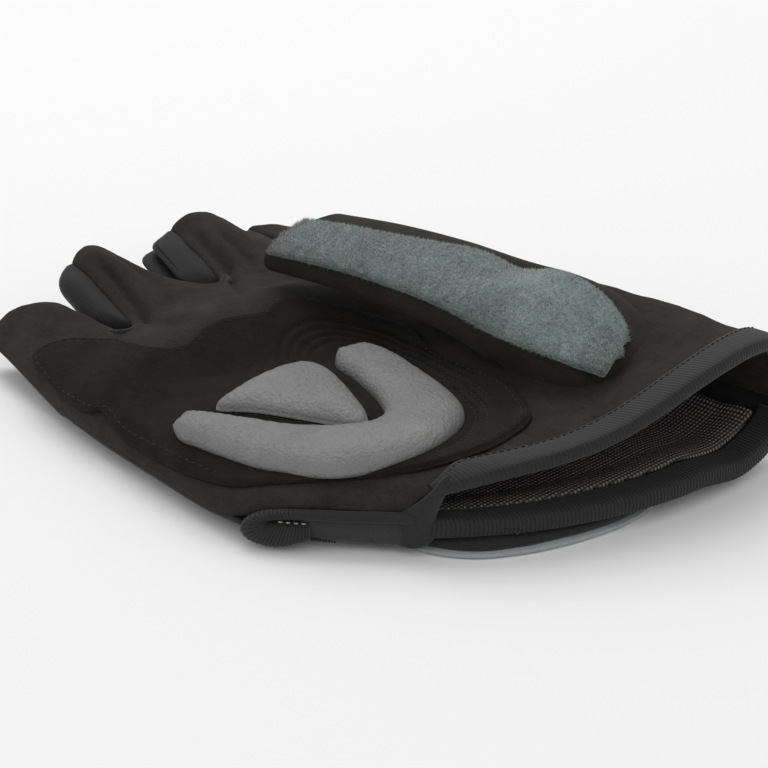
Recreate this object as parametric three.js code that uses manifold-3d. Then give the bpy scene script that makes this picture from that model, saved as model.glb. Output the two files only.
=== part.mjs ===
// A short-finger fitness glove for the right hand, lying on its back with the palm up.
// X runs to the thumb side, Y to the fingers and Z up, in millimetres. It rests on Z = 0.
// The glove is a cloth shell, hollow from the cuff to the four finger openings and the
// thumb opening: a suede palm, a stretch back, three fork pieces between the fingers and
// a suede thumb. Overlays, pads, bindings and the closure strap are pieces of their own.
import * as THREE from "three";
import { mergeVertices } from "three/addons/utils/BufferGeometryUtils.js";
import Module from "manifold-3d";

const wasm = await Module();
wasm.setup();

// Driving dimensions
const SUEDE = 1.6; // wall of the palm and the thumb
const STRETCH = 1.3; // wall of the back and of the fork pieces
const PATCH = 1.1; // suede overlay on the palm
const LINING = 0.8; // mesh lining of the back
const FLEECE = 2.2; // terry wipe on the thumb
const STRAP = 1.2; // black body of the closure strap
const STRAP_COVER = 0.8; // grey cover under the strap
const BINDING = 1.1; // elastic tape round the cuff
const PAD_HEIGHT = 3.6; // gel pads, above the overlay
const GAP = 0.3; // clearance between pieces that touch
const FORK_RADIUS = 2.8; // rounding of the crotch between two fingers
const SIDE_POWER = 3.2; // how square the shoulders of the hand's section are
const BACK_POWER = 2.5; // and those of the back, on the thumb side

// The hand's body. t runs from the cuff, 0, to the finger crotches, 1.
// ulnar and radial are the x of the side seams, and the others are their heights.
const BODY = [
  { t: 0.0, ulnar: -29.5, radial: 46.5, ulnarSeam: 8.4, radialSeam: 12.0, slitSeam: 5.0 },
  { t: 0.07, ulnar: -40.8, radial: 46.4, ulnarSeam: 8.2, radialSeam: 11.5, slitSeam: 3.0 },
  { t: 0.14, ulnar: -46.4, radial: 46.3, ulnarSeam: 6.8, radialSeam: 11.0, slitSeam: 2.6 },
  { t: 0.2, ulnar: -48.0, radial: 46.2, ulnarSeam: 4.2, radialSeam: 10.5, slitSeam: 4.2 },
  { t: 0.3, ulnar: -48.6, radial: 46.0, ulnarSeam: 3.9, radialSeam: 10.0, slitSeam: 3.9 },
  { t: 0.52, ulnar: -48.0, radial: 46.2, ulnarSeam: 3.8, radialSeam: 9.0, slitSeam: 3.8 },
  { t: 0.78, ulnar: -47.2, radial: 47.6, ulnarSeam: 3.8, radialSeam: 7.5, slitSeam: 3.8 },
  { t: 1.0, ulnar: -45.6, radial: 49.0, ulnarSeam: 3.8, radialSeam: 6.5, slitSeam: 3.8 },
];
// Height of the palm's crown at five places across the hand.
const CROWN = [
  { t: 0.0, xm40: 12.0, xm20: 15.0, x0: 17.6, x20: 25.5, x40: 30.0 },
  { t: 0.12, xm40: 13.0, xm20: 14.0, x0: 15.5, x20: 22.5, x40: 32.0 },
  { t: 0.3, xm40: 12.6, xm20: 12.8, x0: 12.5, x20: 18.5, x40: 32.5 },
  { t: 0.5, xm40: 12.4, xm20: 12.6, x0: 11.2, x20: 13.0, x40: 28.5 },
  { t: 0.68, xm40: 11.8, xm20: 11.2, x0: 10.5, x20: 11.0, x40: 20.0 },
  { t: 0.84, xm40: 13.5, xm20: 16.2, x0: 16.4, x20: 13.0, x40: 14.5 },
  { t: 1.0, xm40: 12.8, xm20: 13.8, x0: 14.2, x20: 13.2, x40: 12.5 },
];
const CROWN_X = [-40, -20, 0, 20, 40];
// Where the cuff's edge and the line of the crotches lie.
const CUFF = [
  { x: -48, y: -36 }, { x: -40, y: -41 }, { x: -30, y: -48 }, { x: -20, y: -55.5 },
  { x: -10, y: -61.3 }, { x: 0, y: -65.3 }, { x: 10, y: -68.1 }, { x: 20, y: -69.6 },
  { x: 30, y: -70 }, { x: 40, y: -69.6 }, { x: 48, y: -68.5 },
];
const KNUCKLES = [
  { x: -48, y: 30 }, { x: -40, y: 32.5 }, { x: -25, y: 36.5 }, { x: 0.6, y: 40 },
  { x: 26, y: 38.5 }, { x: 40, y: 35 }, { x: 49, y: 31 },
];
const CROTCHES = [-25, 0.6, 26]; // x of the three crotches
// The back lies on the table, and near the cuff over the strap and the tape.
const STRAP_LIFT = STRAP + STRAP_COVER + 2 * GAP;
const TAPE_LIFT = BINDING + GAP;

// The finger openings. ulnar and radial are the corners of the palm side, peak the rise
// of its crown above them, at peakAt across, and back the height of the back there.
const FINGERS = [
  { ulnar: [-40.5, 64, 6.0], radial: [-27.4, 53, 12.6], peak: 4.5, peakAt: 0.45, back: 2.5, columns: 7 },
  { ulnar: [-18.8, 64, 17.2], radial: [-6.8, 61, 13.0], peak: 4.2, peakAt: 0.4, back: 5.5, columns: 6 },
  { ulnar: [8.8, 66.5, 17.2], radial: [22.0, 64.5, 13.0], peak: 3.2, peakAt: 0.4, back: 5.5, columns: 6 },
  { ulnar: [26.8, 62, 13.0], radial: [46.0, 54, 6.0], peak: 2.0, peakAt: 0.35, back: 4.0, columns: 7 },
];
// How far each fork piece bulges into the gap, beside the finger on either side of it.
const FORKS = [
  { radialSide: 0.7, ulnarSide: 4.6 },
  { radialSide: 1.4, ulnarSide: 5.4 },
  { radialSide: 0.4, ulnarSide: 2.6 },
];
const BODY_ROWS = 15;
const FINGER_ROWS = 6;
const BACK_ROWS = [0, 0.055, 0.1, 0.15, 0.21, 0.29, 0.39, 0.52, 0.66, 0.82, 1];

// The thumb's rings: centre, half width and height, tilt from upright, and roll about
// its own line. The first two rings are inside the palm's hump.
const THUMB = [
  { k: 0, x: 24.0, y: -37.5, z: 12.0, wide: 9.8, high: 13.2, tilt: 84, roll: 8, square: 0.55 },
  { k: 1, x: 23.8, y: -37.0, z: 17.8, wide: 12.0, high: 14.8, tilt: 75, roll: 8, square: 0.52 },
  { k: 2, x: 23.8, y: -31.5, z: 20.4, wide: 13.2, high: 11.4, tilt: 56, roll: 9, square: 0.62 },
  { k: 3, x: 23.4, y: -24.0, z: 21.7, wide: 13.0, high: 7.8, tilt: 32, roll: 9, square: 0.75 },
  { k: 4, x: 22.4, y: -13.5, z: 22.2, wide: 12.2, high: 5.9, tilt: 12, roll: 7, square: 0.8 },
  { k: 5, x: 20.7, y: -1.0, z: 22.8, wide: 11.8, high: 5.2, tilt: 3, roll: 8, square: 0.8 },
  { k: 6, x: 17.8, y: 13.0, z: 23.2, wide: 11.2, high: 4.9, tilt: 2, roll: 8, square: 0.8 },
  { k: 7, x: 14.2, y: 28.5, z: 22.8, wide: 10.8, high: 4.8, tilt: 14, roll: 7, square: 0.8 },
];
const THUMB_SIDES = 20;
const THUMB_ROWS = 14;
// The wipe covers these angles of the thumb's rings, from its near side over the top.
const WIPE = [
  { k: 0.9, near: 44, far: 74 },
  { k: 1.4, near: 30, far: 94 },
  { k: 2.2, near: 20, far: 105 },
  { k: 3.2, near: 20, far: 106 },
  { k: 4.0, near: 22, far: 100 },
  { k: 5.0, near: 24, far: 94 },
  { k: 6.8, near: 19, far: 85 },
];

// Outlines in plan
const PATCH_OUTLINE = [
  [0.5, -48], [3.8, -44], [7.3, -36.5], [9.0, -26], [11, -16], [15, -6], [19, 2], [17, 7], [12, 12],
  [8, 16.8], [3.8, 18.8], [-1.7, 19.8], [-6.6, 18.6], [-12.5, 20.5], [-18.7, 20.4], [-23.7, 18.8],
  [-28.6, 20], [-32, 25.5], [-32, 32.5], [-34.5, 38.5], [-37.3, 42], [-40.3, 42.5], [-42.6, 39],
  [-44.0, 30], [-44.8, 21], [-44.2, 17.4], [-45.4, 12], [-46.0, 0], [-46.3, -12], [-46.0, -20],
  [-45.0, -25], [-43.0, -29.5], [-39, -35], [-33.5, -39.2], [-28, -42.4], [-22, -46.4], [-14, -49.6],
  [-6, -50],
];
// The outer pad's centre line, with its half width there.
const OUTER_PAD = [
  { x: -42.2, y: -1.6, half: 2.6 },
  { x: -40.6, y: -7.5, half: 3.3 },
  { x: -38.6, y: -15.5, half: 4.6 },
  { x: -35.6, y: -25.0, half: 6.0 },
  { x: -30.2, y: -32.8, half: 6.9 },
  { x: -23.0, y: -36.8, half: 6.9 },
  { x: -15.8, y: -35.8, half: 7.0 },
  { x: -9.8, y: -31.2, half: 7.0 },
  { x: -6.0, y: -23.5, half: 6.4 },
  { x: -3.6, y: -15.0, half: 5.8 },
  { x: -1.6, y: -7.0, half: 5.4 },
  { x: -0.2, y: 0.6, half: 4.6 },
];
const INNER_PAD = [
  [-35.0, -3.6], [-29.5, -1.6], [-21.0, 0.2], [-14.0, 1.0], [-10.8, -0.8], [-10.8, -5.5], [-13.2, -12.5],
  [-15.8, -19.0], [-18.6, -25.5], [-21.0, -28.0], [-24.0, -26.6], [-27.4, -19.0], [-31.4, -10.2],
];
const STRAP_OUTLINE = [
  [-27.4, -40.5], [-28.2, -46.5], [-26.2, -52.4], [-22, -57.6], [-15.9, -61.4], [-10.2, -63.8], [-3, -65.8],
  [5.4, -66.9], [12.5, -66], [17.2, -61.5], [18.4, -54], [16, -46.5], [9, -42.5], [-4, -40], [-16, -38.6],
];

const lerp = (a, b, f) => a + (b - a) * f;
const clamp = (v, lo = 0, hi = 1) => Math.min(hi, Math.max(lo, v));
const ease = (v) => clamp(v) ** 2 * (3 - 2 * clamp(v));

// A smooth curve through a table's column, held flat past both ends.
function along(table, key, column, at) {
  let i = table.findIndex((row) => row[key] > at) - 1;
  if (at <= table[0][key]) return table[0][column];
  if (i < 0) return table[table.length - 1][column];
  const row = (n) => table[clamp(n, 0, table.length - 1)];
  const [a, b, c, d] = [row(i - 1), row(i), row(i + 1), row(i + 2)];
  const span = c[key] - b[key];
  const f = (at - b[key]) / span;
  const slopeB = ((c[column] - a[column]) / Math.max(c[key] - a[key], 1e-6)) * span;
  const slopeC = ((d[column] - b[column]) / Math.max(d[key] - b[key], 1e-6)) * span;
  const f2 = f * f;
  const f3 = f2 * f;
  return (2 * f3 - 3 * f2 + 1) * b[column] + (f3 - 2 * f2 + f) * slopeB
    + (3 * f2 - 2 * f3) * c[column] + (f3 - f2) * slopeC;
}

// The hand's surfaces
const cuffY = (x) => along(CUFF, "x", "y", x);
const knuckleY = (x) => along(KNUCKLES, "x", "y", x);
const body = (column, t) => along(BODY, "t", column, t);
const shoulder = (across, power) => (1 - Math.min(1, Math.abs(across)) ** power) ** (1 / power);

function crownZ(x, t) {
  const heights = CROWN_X.map((at) => ({
    x: at,
    z: along(CROWN, "t", at < 0 ? "xm" + -at : "x" + at, t),
  }));
  return along(heights, "x", "z", x);
}

// A point of the palm or the back at x and t.
function handPoint(x, t, side) {
  const left = body("ulnar", t);
  const right = body("radial", t);
  const across = clamp((2 * x - left - right) / (right - left), -1, 1);
  const ulnarSeam = side === "palm" ? body("ulnarSeam", t) + GAP / 2 : body("slitSeam", t) - GAP / 2;
  const radialSeam = body("radialSeam", t) + (side === "palm" ? GAP / 2 : -GAP / 2);
  const seam = lerp(ulnarSeam, radialSeam, (across + 1) / 2);
  const y = lerp(cuffY(x), knuckleY(x), t);
  const far = side === "palm" ? crownZ(x, t) : backFloor(x, y);
  const power = side === "back" && across > 0 ? BACK_POWER : SIDE_POWER;
  return new THREE.Vector3(x, y, seam + (far - seam) * shoulder(across, power));
}

// The back's lowest height: over the strap and the tape near the cuff, else the table.
function backFloor(x, y) {
  const inboard = y - cuffY(x);
  const overStrap = ease((-29 - y) / 7) * ease((34 - x) / 14) * ease((x + 36) / 6);
  return STRAP_LIFT * overStrap + TAPE_LIFT * ease((13 - inboard) / 6) * ease((x + 37) / 7);
}

// A fraction across the hand, from 0 to 4 with a crotch at each whole number, as an x.
function columnX(u, t) {
  const left = body("ulnar", t);
  const right = body("radial", t);
  const half = (body("radial", 1) - body("ulnar", 1)) / 2;
  const middle = (body("radial", 1) + body("ulnar", 1)) / 2;
  const marks = [-1, ...CROTCHES.map((x) => (2 / Math.PI) * Math.asin((x - middle) / half)), 1];
  const n = Math.min(3, Math.floor(u));
  const turn = lerp(marks[n], marks[n + 1], u - n);
  return (left + right) / 2 + ((right - left) / 2) * Math.sin((turn * Math.PI) / 2);
}

// How far a finger's edge has left the middle of the crotch, at a distance from it.
function forkWidth(distance) {
  const near = clamp(distance / FORK_RADIUS);
  return FORK_RADIUS * Math.sqrt(1 - (1 - near) ** 2);
}

// A point of finger n: across from 0 to 1, along from 0 at the crotch line to 1 at its opening.
function fingerPoint(n, across, w, side) {
  const finger = FINGERS[n];
  const start = handPoint(columnX(n + across, 1), 1, side);
  const ulnar = new THREE.Vector3(...finger.ulnar);
  const radial = new THREE.Vector3(...finger.radial);
  const outerUlnar = n === 0;
  const outerRadial = n === FINGERS.length - 1;
  const tip = ulnar.clone().lerp(radial, across);
  const reach = tip.y - start.y;
  const open = forkWidth(w * reach) - w * FORK_RADIUS;
  const spread = (outerUlnar ? 0 : open * (1 - across)) - (outerRadial ? 0 : open * across);
  const p = start.clone().lerp(tip, w);
  p.x += spread;
  const shift = (across - finger.peakAt) / (across < finger.peakAt ? finger.peakAt : 1 - finger.peakAt);
  const rise = ease(w * 1.05);
  if (side === "palm") {
    p.z = lerp(start.z, tip.z + GAP / 2 + finger.peak * (1 - Math.abs(shift) ** 2.2), rise);
    return p;
  }
  // The back's edge rises to the seam of an outer finger, and a little beside a fork.
  const outer = (outerUlnar && across < 0.5) || (outerRadial && across > 0.5);
  const edge = outer ? (outerUlnar ? ulnar.z : radial.z) - GAP / 2 : finger.back + 2.2;
  p.z = lerp(start.z, lerp(finger.back, edge, Math.abs(2 * across - 1) ** 3), rise);
  return p;
}

// Meshes: a list of points and of four-sided faces, thickened into a closed wall.
class Sheet {
  constructor() {
    this.points = [];
    this.faces = [];
    this.keys = new Map();
    this.level = new Set();
  }
  add(p) {
    const key = [p.x, p.y, p.z].map((v) => Math.round(v * 1e3)).join();
    if (!this.keys.has(key)) {
      this.keys.set(key, this.points.length);
      this.points.push(p);
    }
    return this.keys.get(key);
  }
  // A grid of points given by a function of its column and row.
  grid(columns, rows, at) {
    const index = [];
    for (let i = 0; i <= columns; i++) {
      index.push([]);
      for (let j = 0; j <= rows; j++) index[i].push(this.add(at(i, j)));
    }
    for (let i = 0; i < columns; i++)
      for (let j = 0; j < rows; j++)
        this.faces.push([index[i][j], index[i + 1][j], index[i + 1][j + 1], index[i][j + 1]]);
    return this;
  }
  triangles() {
    const halves = this.faces.flatMap(([a, b, c, d]) => [[a, b, c], [a, c, d]]);
    return halves.filter(([a, b, c]) => a !== b && b !== c && a !== c);
  }
  normals() {
    const normals = this.points.map(() => new THREE.Vector3());
    for (const [a, b, c] of this.triangles()) {
      const [p, q, r] = [a, b, c].map((n) => this.points[n]);
      const n = q.clone().sub(p).cross(r.clone().sub(p));
      for (const v of [a, b, c]) normals[v].add(n);
    }
    for (const i of this.level) normals[i].z = 0;
    return normals.map((n) => n.normalize());
  }
}

// A closed wall between two offsets of a sheet along its normals
function wall(sheet, from, to) {
  const normals = sheet.normals();
  const count = sheet.points.length;
  const shift = (d) => sheet.points.map((p, i) => p.clone().addScaledVector(normals[i], d));
  const triangles = [];
  const edges = new Map();
  for (const [a, b, c] of sheet.triangles()) {
    triangles.push([a, b, c], [a + count, c + count, b + count]);
    for (const [p, q] of [[a, b], [b, c], [c, a]]) {
      if (edges.has(q + "," + p)) edges.delete(q + "," + p);
      else edges.set(p + "," + q, [p, q]);
    }
  }
  for (const [p, q] of edges.values()) triangles.push([p, p + count, q + count], [p, q + count, q]);
  return closed(geometryOf([...shift(to), ...shift(from)], triangles));
}

// Turned inside out where its volume is negative
function closed(geometry) {
  if (volumeOf(geometry) < 0) geometry.index.array.reverse();
  return geometry;
}

function volumeOf(geometry) {
  const index = geometry.index.array;
  const at = (n) => new THREE.Vector3().fromBufferAttribute(geometry.attributes.position, index[n]);
  let volume = 0;
  for (let n = 0; n < index.length; n += 3) volume += at(n).dot(at(n + 1).cross(at(n + 2))) / 6;
  return volume;
}

function geometryOf(points, triangles) {
  const geometry = new THREE.BufferGeometry();
  const numbers = points.flatMap((p) => [p.x, p.y, p.z]);
  geometry.setAttribute("position", new THREE.Float32BufferAttribute(numbers, 3));
  geometry.setIndex(triangles.flat());
  return geometry;
}

// A solid for cutting and joining, from a mesh, and the mesh of such a solid
function solidOf(geometry) {
  const bare = geometry.clone();
  bare.deleteAttribute("normal");
  bare.deleteAttribute("uv");
  const merged = mergeVertices(bare, 1e-4);
  return new wasm.Manifold(new wasm.Mesh({
    numProp: 3,
    vertProperties: merged.attributes.position.array,
    triVerts: new Uint32Array(merged.index.array),
  }));
}

function geometryFrom(solid) {
  const mesh = solid.getMesh();
  const geometry = new THREE.BufferGeometry();
  geometry.setAttribute("position", new THREE.BufferAttribute(mesh.vertProperties, 3));
  geometry.setIndex(new THREE.BufferAttribute(mesh.triVerts, 1));
  return geometry;
}

// Points along a smooth closed curve in plan
function outlineOf(table, divisions) {
  const marks = table.map(([x, y]) => new THREE.Vector3(x, y, 0));
  return new THREE.CatmullRomCurve3(marks, true, "centripetal").getPoints(divisions).slice(0, -1);
}

// An upright prism over a smooth closed outline
function prism(outline, divisions, low = -5, high = 60) {
  const shape = new THREE.Shape(outlineOf(outline, divisions).map((p) => new THREE.Vector2(p.x, p.y)));
  return new THREE.ExtrudeGeometry(shape, { depth: high - low, bevelEnabled: false }).translate(0, 0, low);
}

// A solid lofted through rings of points, with flat ends or joined round
function loft(rings, round = false) {
  const sides = rings[0].length;
  const triangles = [];
  for (let k = 0; k + 1 < rings.length + (round ? 1 : 0); k++)
    for (let s = 0; s < sides; s++) {
      const next = ((k + 1) % rings.length) * sides;
      const [a, b] = [s, (s + 1) % sides];
      triangles.push([k * sides + a, k * sides + b, next + b], [k * sides + a, next + b, next + a]);
    }
  const last = (rings.length - 1) * sides;
  for (let s = 1; !round && s + 1 < sides; s++)
    triangles.push([0, s + 1, s], [last, last + s, last + s + 1]);
  return closed(geometryOf(rings.flat(), triangles));
}

// The columns across the hand, and the rows along a finger, closer near the crotch
const columnsOf = (spare) => FINGERS.flatMap((finger, n) => {
  const length = finger.columns - spare;
  return Array.from({ length }, (_, i) => n + i / length);
}).concat(4);
const stall = (j) => (j / FINGER_ROWS) ** 1.7;

// The palm or the back: the hand's body and its four finger stalls as one sheet
function handSheet(side, rows, spare = 0) {
  const sheet = new Sheet();
  const columns = columnsOf(spare);
  const hand = (u, t) => handPoint(columnX(u, t), t, side);
  sheet.grid(columns.length - 1, rows.length - 1, (i, j) => hand(columns[i], rows[j]));
  for (const t of rows)
    for (const u of [0, 4]) sheet.level.add(sheet.add(hand(u, t)));
  FINGERS.forEach((finger, n) => {
    const count = finger.columns - spare;
    sheet.grid(count, FINGER_ROWS, (i, j) => fingerPoint(n, i / count, stall(j), side));
  });
  for (let j = 0; j <= FINGER_ROWS; j++) {
    sheet.level.add(sheet.add(fingerPoint(0, 0, stall(j), side)));
    sheet.level.add(sheet.add(fingerPoint(3, 1, stall(j), side)));
  }
  return sheet;
}

// The palm's surface over a place in plan, and its normal
function palmAt(x, y) {
  const height = (px, py) => handPoint(px, clamp((py - cuffY(px)) / (knuckleY(px) - cuffY(px))), "palm").z;
  const d = 0.4;
  const slopeX = (height(x + d, y) - height(x - d, y)) / (2 * d);
  const slopeY = (height(x, y + d) - height(x, y - d)) / (2 * d);
  const up = new THREE.Vector3(-slopeX, -slopeY, 1).normalize();
  return { at: new THREE.Vector3(x, y, height(x, y)), up };
}

// A fork piece lines the gap between finger n and the next, round the crotch.
function fork(n) {
  const steps = 4;
  const skin = new Sheet();
  const place = (a, side, back = 0) =>
    (a < 0 ? fingerPoint(n, 1 - back, -a, side) : fingerPoint(n + 1, back, a, side));
  const frame = (a, side) => {
    const at = place(a, side);
    const ahead = place(clamp(a + 0.03, -1, 1), side).sub(place(clamp(a - 0.03, -1, 1), side)).normalize();
    const past = at.clone().sub(place(a, side, 0.06));
    if (Math.abs(a) < 0.02) past.set(0, 1, 0);
    past.addScaledVector(ahead, -past.dot(ahead)).normalize();
    const up = ahead.clone().cross(past);
    return { at, ahead, past, outward: up.multiplyScalar(Math.sign(up.z) * (side === "palm" ? 1 : -1)) };
  };
  skin.grid(2 * FINGER_ROWS, steps, (i, j) => {
    const a = Math.sign(i - FINGER_ROWS) * stall(Math.abs(i - FINGER_ROWS));
    const [top, low] = [frame(a, "palm"), frame(a, "back")];
    const swell = (f) => Math.sin(Math.PI * f ** 0.8) * ease(Math.abs(a) * 2.5)
      * (a < 0 ? FORKS[n].radialSide : FORKS[n].ulnarSide);
    const out = top.ahead.clone().setZ(0).normalize();
    out.set(-out.y, out.x, 0);
    out.setZ(a < 0 ? 0.45 : 0.1);
    const line = (f) => top.at.clone().lerp(low.at, f).addScaledVector(out, swell(f));
    // Both ends stand clear of the walls that they meet, by the gap.
    const clear = ({ at, past, outward }, f) => {
      const turn = Math.max(0, -line(f).sub(at).normalize().dot(outward));
      return past.clone().multiplyScalar(GAP + 0.35 + STRETCH * turn);
    };
    const f = j / steps;
    const shiftTop = clear(top, 1 / steps).multiplyScalar((1 - f) ** 2);
    const shiftLow = clear(low, 1 - 1 / steps).multiplyScalar(f ** 2);
    const p = line(f).add(shiftTop).add(shiftLow);
    return p.setZ(Math.max(p.z, 0.1));
  });
  const outward = skin.normals()[skin.points.length >> 1];
  return wall(skin, 0, outward.y > 0 ? -STRETCH : STRETCH);
}

// The thumb's skin at k along its rings and an angle round them
function thumbPoint(k, degrees) {
  const row = (column) => along(THUMB, "k", column, k);
  const [angle, tilt, roll] = [degrees, row("tilt"), row("roll")].map(THREE.MathUtils.degToRad);
  const round = (v) => Math.sign(v) * Math.abs(v) ** row("square");
  const a = -row("wide") * round(Math.cos(angle));
  const b = row("high") * round(Math.sin(angle));
  const side = a * Math.cos(roll) - b * Math.sin(roll);
  const rise = a * Math.sin(roll) + b * Math.cos(roll);
  const [y, z] = [row("y") - rise * Math.sin(tilt), row("z") + rise * Math.cos(tilt)];
  return new THREE.Vector3(row("x") + side, y, z);
}

function thumbSheet() {
  const last = THUMB[THUMB.length - 1].k;
  return new Sheet().grid(THUMB_SIDES, THUMB_ROWS, (i, j) =>
    thumbPoint((last * j) / THUMB_ROWS, (360 * (i % THUMB_SIDES)) / THUMB_SIDES));
}

const palmRows = Array.from({ length: BODY_ROWS + 1 }, (_, j) => j / BODY_ROWS);
const palmSheet = handSheet("palm", palmRows);
// Everything below the palm's surface and its gap, where the thumb is
const palmBlock = solidOf(wall(palmSheet, -1.2, GAP)).add(solidOf(wall(palmSheet, -6, -1)));
const thumbOpen = thumbSheet();
const thumbOuter = solidOf(wall(thumbOpen, -SUEDE, 0)).subtract(palmBlock);

// The inside of the thumb, through the palm
function thumbBore() {
  const rings = [];
  for (let k = -1; k <= THUMB_ROWS; k++) {
    const at = Math.max(0, (k / THUMB_ROWS) * 7);
    rings.push(Array.from({ length: THUMB_SIDES }, (_, i) => {
      const angle = (360 * i) / THUMB_SIDES;
      const p = thumbPoint(at, angle);
      const middle = thumbPoint(at, angle + 180).add(p).multiplyScalar(0.5);
      const inward = middle.clone().sub(p).setLength(SUEDE + 0.4);
      return p.add(inward).add(new THREE.Vector3(0, 0, k < 0 ? -9 : 0));
    }));
  }
  return solidOf(loft(rings));
}

function palmPanel() {
  return geometryFrom(solidOf(wall(palmSheet, -SUEDE, 0)).subtract(thumbBore()));
}

const largest = (solid) => geometryFrom(solid.decompose().sort((a, b) => b.volume() - a.volume())[0]);

function thumbShell() {
  return largest(thumbOuter);
}

function thumbWipe() {
  const sheet = new Sheet().grid(8, 16, (i, j) => {
    const k = lerp(WIPE[0].k, WIPE[WIPE.length - 1].k, j / 16);
    return thumbPoint(k, lerp(along(WIPE, "k", "near", k), along(WIPE, "k", "far", k), i / 8));
  });
  const made = wall(sheet, GAP + 0.1, GAP + 0.1 + FLEECE);
  return largest(solidOf(made).subtract(palmBlock));
}

// Pads: a rounded cushion over rows of points in plan
const padBase = 2 * GAP + PATCH;
function cushion(rows, profile) {
  const [low, high] = [[], []];
  const height = (f) => 0.8 + (PAD_HEIGHT - 0.8) * profile(f);
  const lift = ([x, y], up) => {
    const place = palmAt(x, y);
    return place.at.addScaledVector(place.up, padBase + up);
  };
  for (const row of rows) {
    low.push(row.map(([x, y]) => lift([x, y], 0)));
    high.push(row.map(([x, y, f]) => lift([x, y], height(f))));
  }
  return { low, high };
}

function outerPad() {
  const length = OUTER_PAD.length - 1;
  const centre = new THREE.CatmullRomCurve3(OUTER_PAD.map((p) => new THREE.Vector3(p.x, p.y, p.half)));
  const rings = [];
  const steps = 24;
  for (let s = 0; s <= steps; s++) {
    const f = (1 - Math.cos((Math.PI * s) / steps)) / 2;
    const soft = lerp(f, s / steps, 0.6);
    const p = centre.getPoint(soft);
    const ahead = centre.getTangent(soft).setZ(0).normalize();
    const end = Math.min(soft, 1 - soft) * length;
    const half = p.z * Math.sqrt(1 - (1 - clamp(end / 0.9)) ** 2) + 0.25;
    const row = [-1, -0.86, -0.5, 0, 0.5, 0.86, 1].map((r) => {
      const edge = Math.max(Math.abs(r), 1 - clamp(end / 0.9));
      return [p.x + ahead.y * half * r, p.y - ahead.x * half * r, (1 - edge ** 3) ** 0.5];
    });
    const { low, high } = cushion([row], (v) => v);
    rings.push([...low[0], ...high[0].reverse()]);
  }
  return loft(rings);
}

function innerPad() {
  const outline = outlineOf(INNER_PAD, 26);
  const middle = outline.reduce((sum, p) => sum.add(p), new THREE.Vector3()).divideScalar(outline.length);
  const rings = [0.02, 0.4, 0.7, 0.9, 1].map((r) => outline.map((p) => {
    const q = middle.clone().lerp(p, r);
    return [q.x, q.y, (1 - r ** 4) ** 0.5];
  }));
  const { low, high } = cushion(rings, (v) => v);
  return loft([...high, ...low.reverse()]);
}

// Tape folded round the cuff's edge: WIDE outside and NARROW inside
function cuffTape(side, spare, full, narrow) {
  const thick = side === "palm" ? SUEDE : STRETCH;
  const clear = GAP + 0.2;
  const rim = GAP + 0.2;
  const at = (x, inboard) => handPoint(x, inboard / (knuckleY(x) - cuffY(x)), side);
  const columns = columnsOf(spare).slice(side === "palm" ? 3 : 2, -1).map((u) => columnX(u, 0));
  return loft(columns.map((x, i) => {
    const wide = full * lerp(0.7, 1, ease(i / 6));
    const edge = at(x, 0);
    const past = edge.clone().sub(at(x, narrow)).normalize();
    const nextX = Math.min(x + 0.3, columns[columns.length - 1]);
    const sideways = at(nextX, 0).sub(at(Math.max(x - 0.3, columns[0]), 0));
    const up = sideways.cross(past.clone().negate()).normalize();
    if (side === "back") up.negate();
    const place = (inboard, rise, beyond = 0) =>
      at(x, inboard).addScaledVector(up, rise).addScaledVector(past, beyond);
    const [top, low] = [clear + BINDING, -thick - clear - BINDING];
    const [outer, bend] = [rim + BINDING, rim + BINDING * 0.5];
    return [
      place(wide, top), place(wide / 2, top), place(0, top, bend), place(0, clear, outer),
      place(0, -thick, outer), place(0, low, bend), place(narrow, low), place(narrow, -thick - clear),
      place(0, -thick - clear, rim), place(0, clear, rim), place(wide / 2, clear), place(wide, clear),
    ];
  }));
}

function strapPlate(low, high, inset) {
  const points = outlineOf(STRAP_OUTLINE, 30);
  const middle = new THREE.Vector3(-6, -52, 0);
  const shrink = (p, d) => p.clone().add(middle.clone().sub(p).setLength(d));
  const ring = (z, d) => points.map((p) => shrink(p, d).setZ(z));
  return loft([ring(low, inset + 0.2), ring(lerp(low, high, 0.5), inset), ring(high, inset + 0.2)]);
}

// A place on the pinky side of the hand. h runs from -1, the back, over 0, the seam, to 1.
function sidePoint(t, h) {
  const [left, right] = [body("ulnar", t), body("radial", t)];
  const across = -((1 - Math.abs(h) ** SIDE_POWER) ** (1 / SIDE_POWER));
  return handPoint((left + right) / 2 + (across * (right - left)) / 2, t, h > 0 ? "palm" : "back");
}

// The strap's root closes the slit between the palm's edge and the back's.
function strapRoot() {
  const sheet = new Sheet().grid(10, 2, (i, j) => {
    const t = lerp(0.012, 0.13, i / 10);
    const low = sidePoint(t, -1e-6);
    const high = sidePoint(t, 1e-6);
    return low.lerp(high, lerp(0.17, 0.83, j / 2)).add(new THREE.Vector3(0.8, 0.5, 0));
  });
  for (let i = 0; i < sheet.points.length; i++) sheet.level.add(i);
  return wall(sheet, 0, sheet.normals()[5].x < 0 ? -1.2 : 1.2);
}

// A ribbed tape folded over the end of the slit
function slitTape() {
  const sheet = new Sheet().grid(8, 4, (i, j) => {
    const f = i / 8;
    const t = lerp(0.06, 0.15, f);
    const round = Math.sqrt(1 - clamp((f - 0.7) / 0.3) ** 2);
    const middle = lerp(-0.3, -0.05, f);
    const reach = lerp(0.2, 0.52, ease(f * 1.5)) * (0.3 + 0.7 * round);
    return sidePoint(t, lerp(Math.max(middle - reach, -0.52), Math.min(middle + reach, 0.55), j / 4));
  });
  for (let i = 0; i < sheet.points.length; i++) sheet.level.add(i);
  const out = sheet.normals()[5].x < 0 ? 1 : -1;
  return wall(sheet, out * 0.4, out * (0.4 + 1.2));
}

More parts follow.
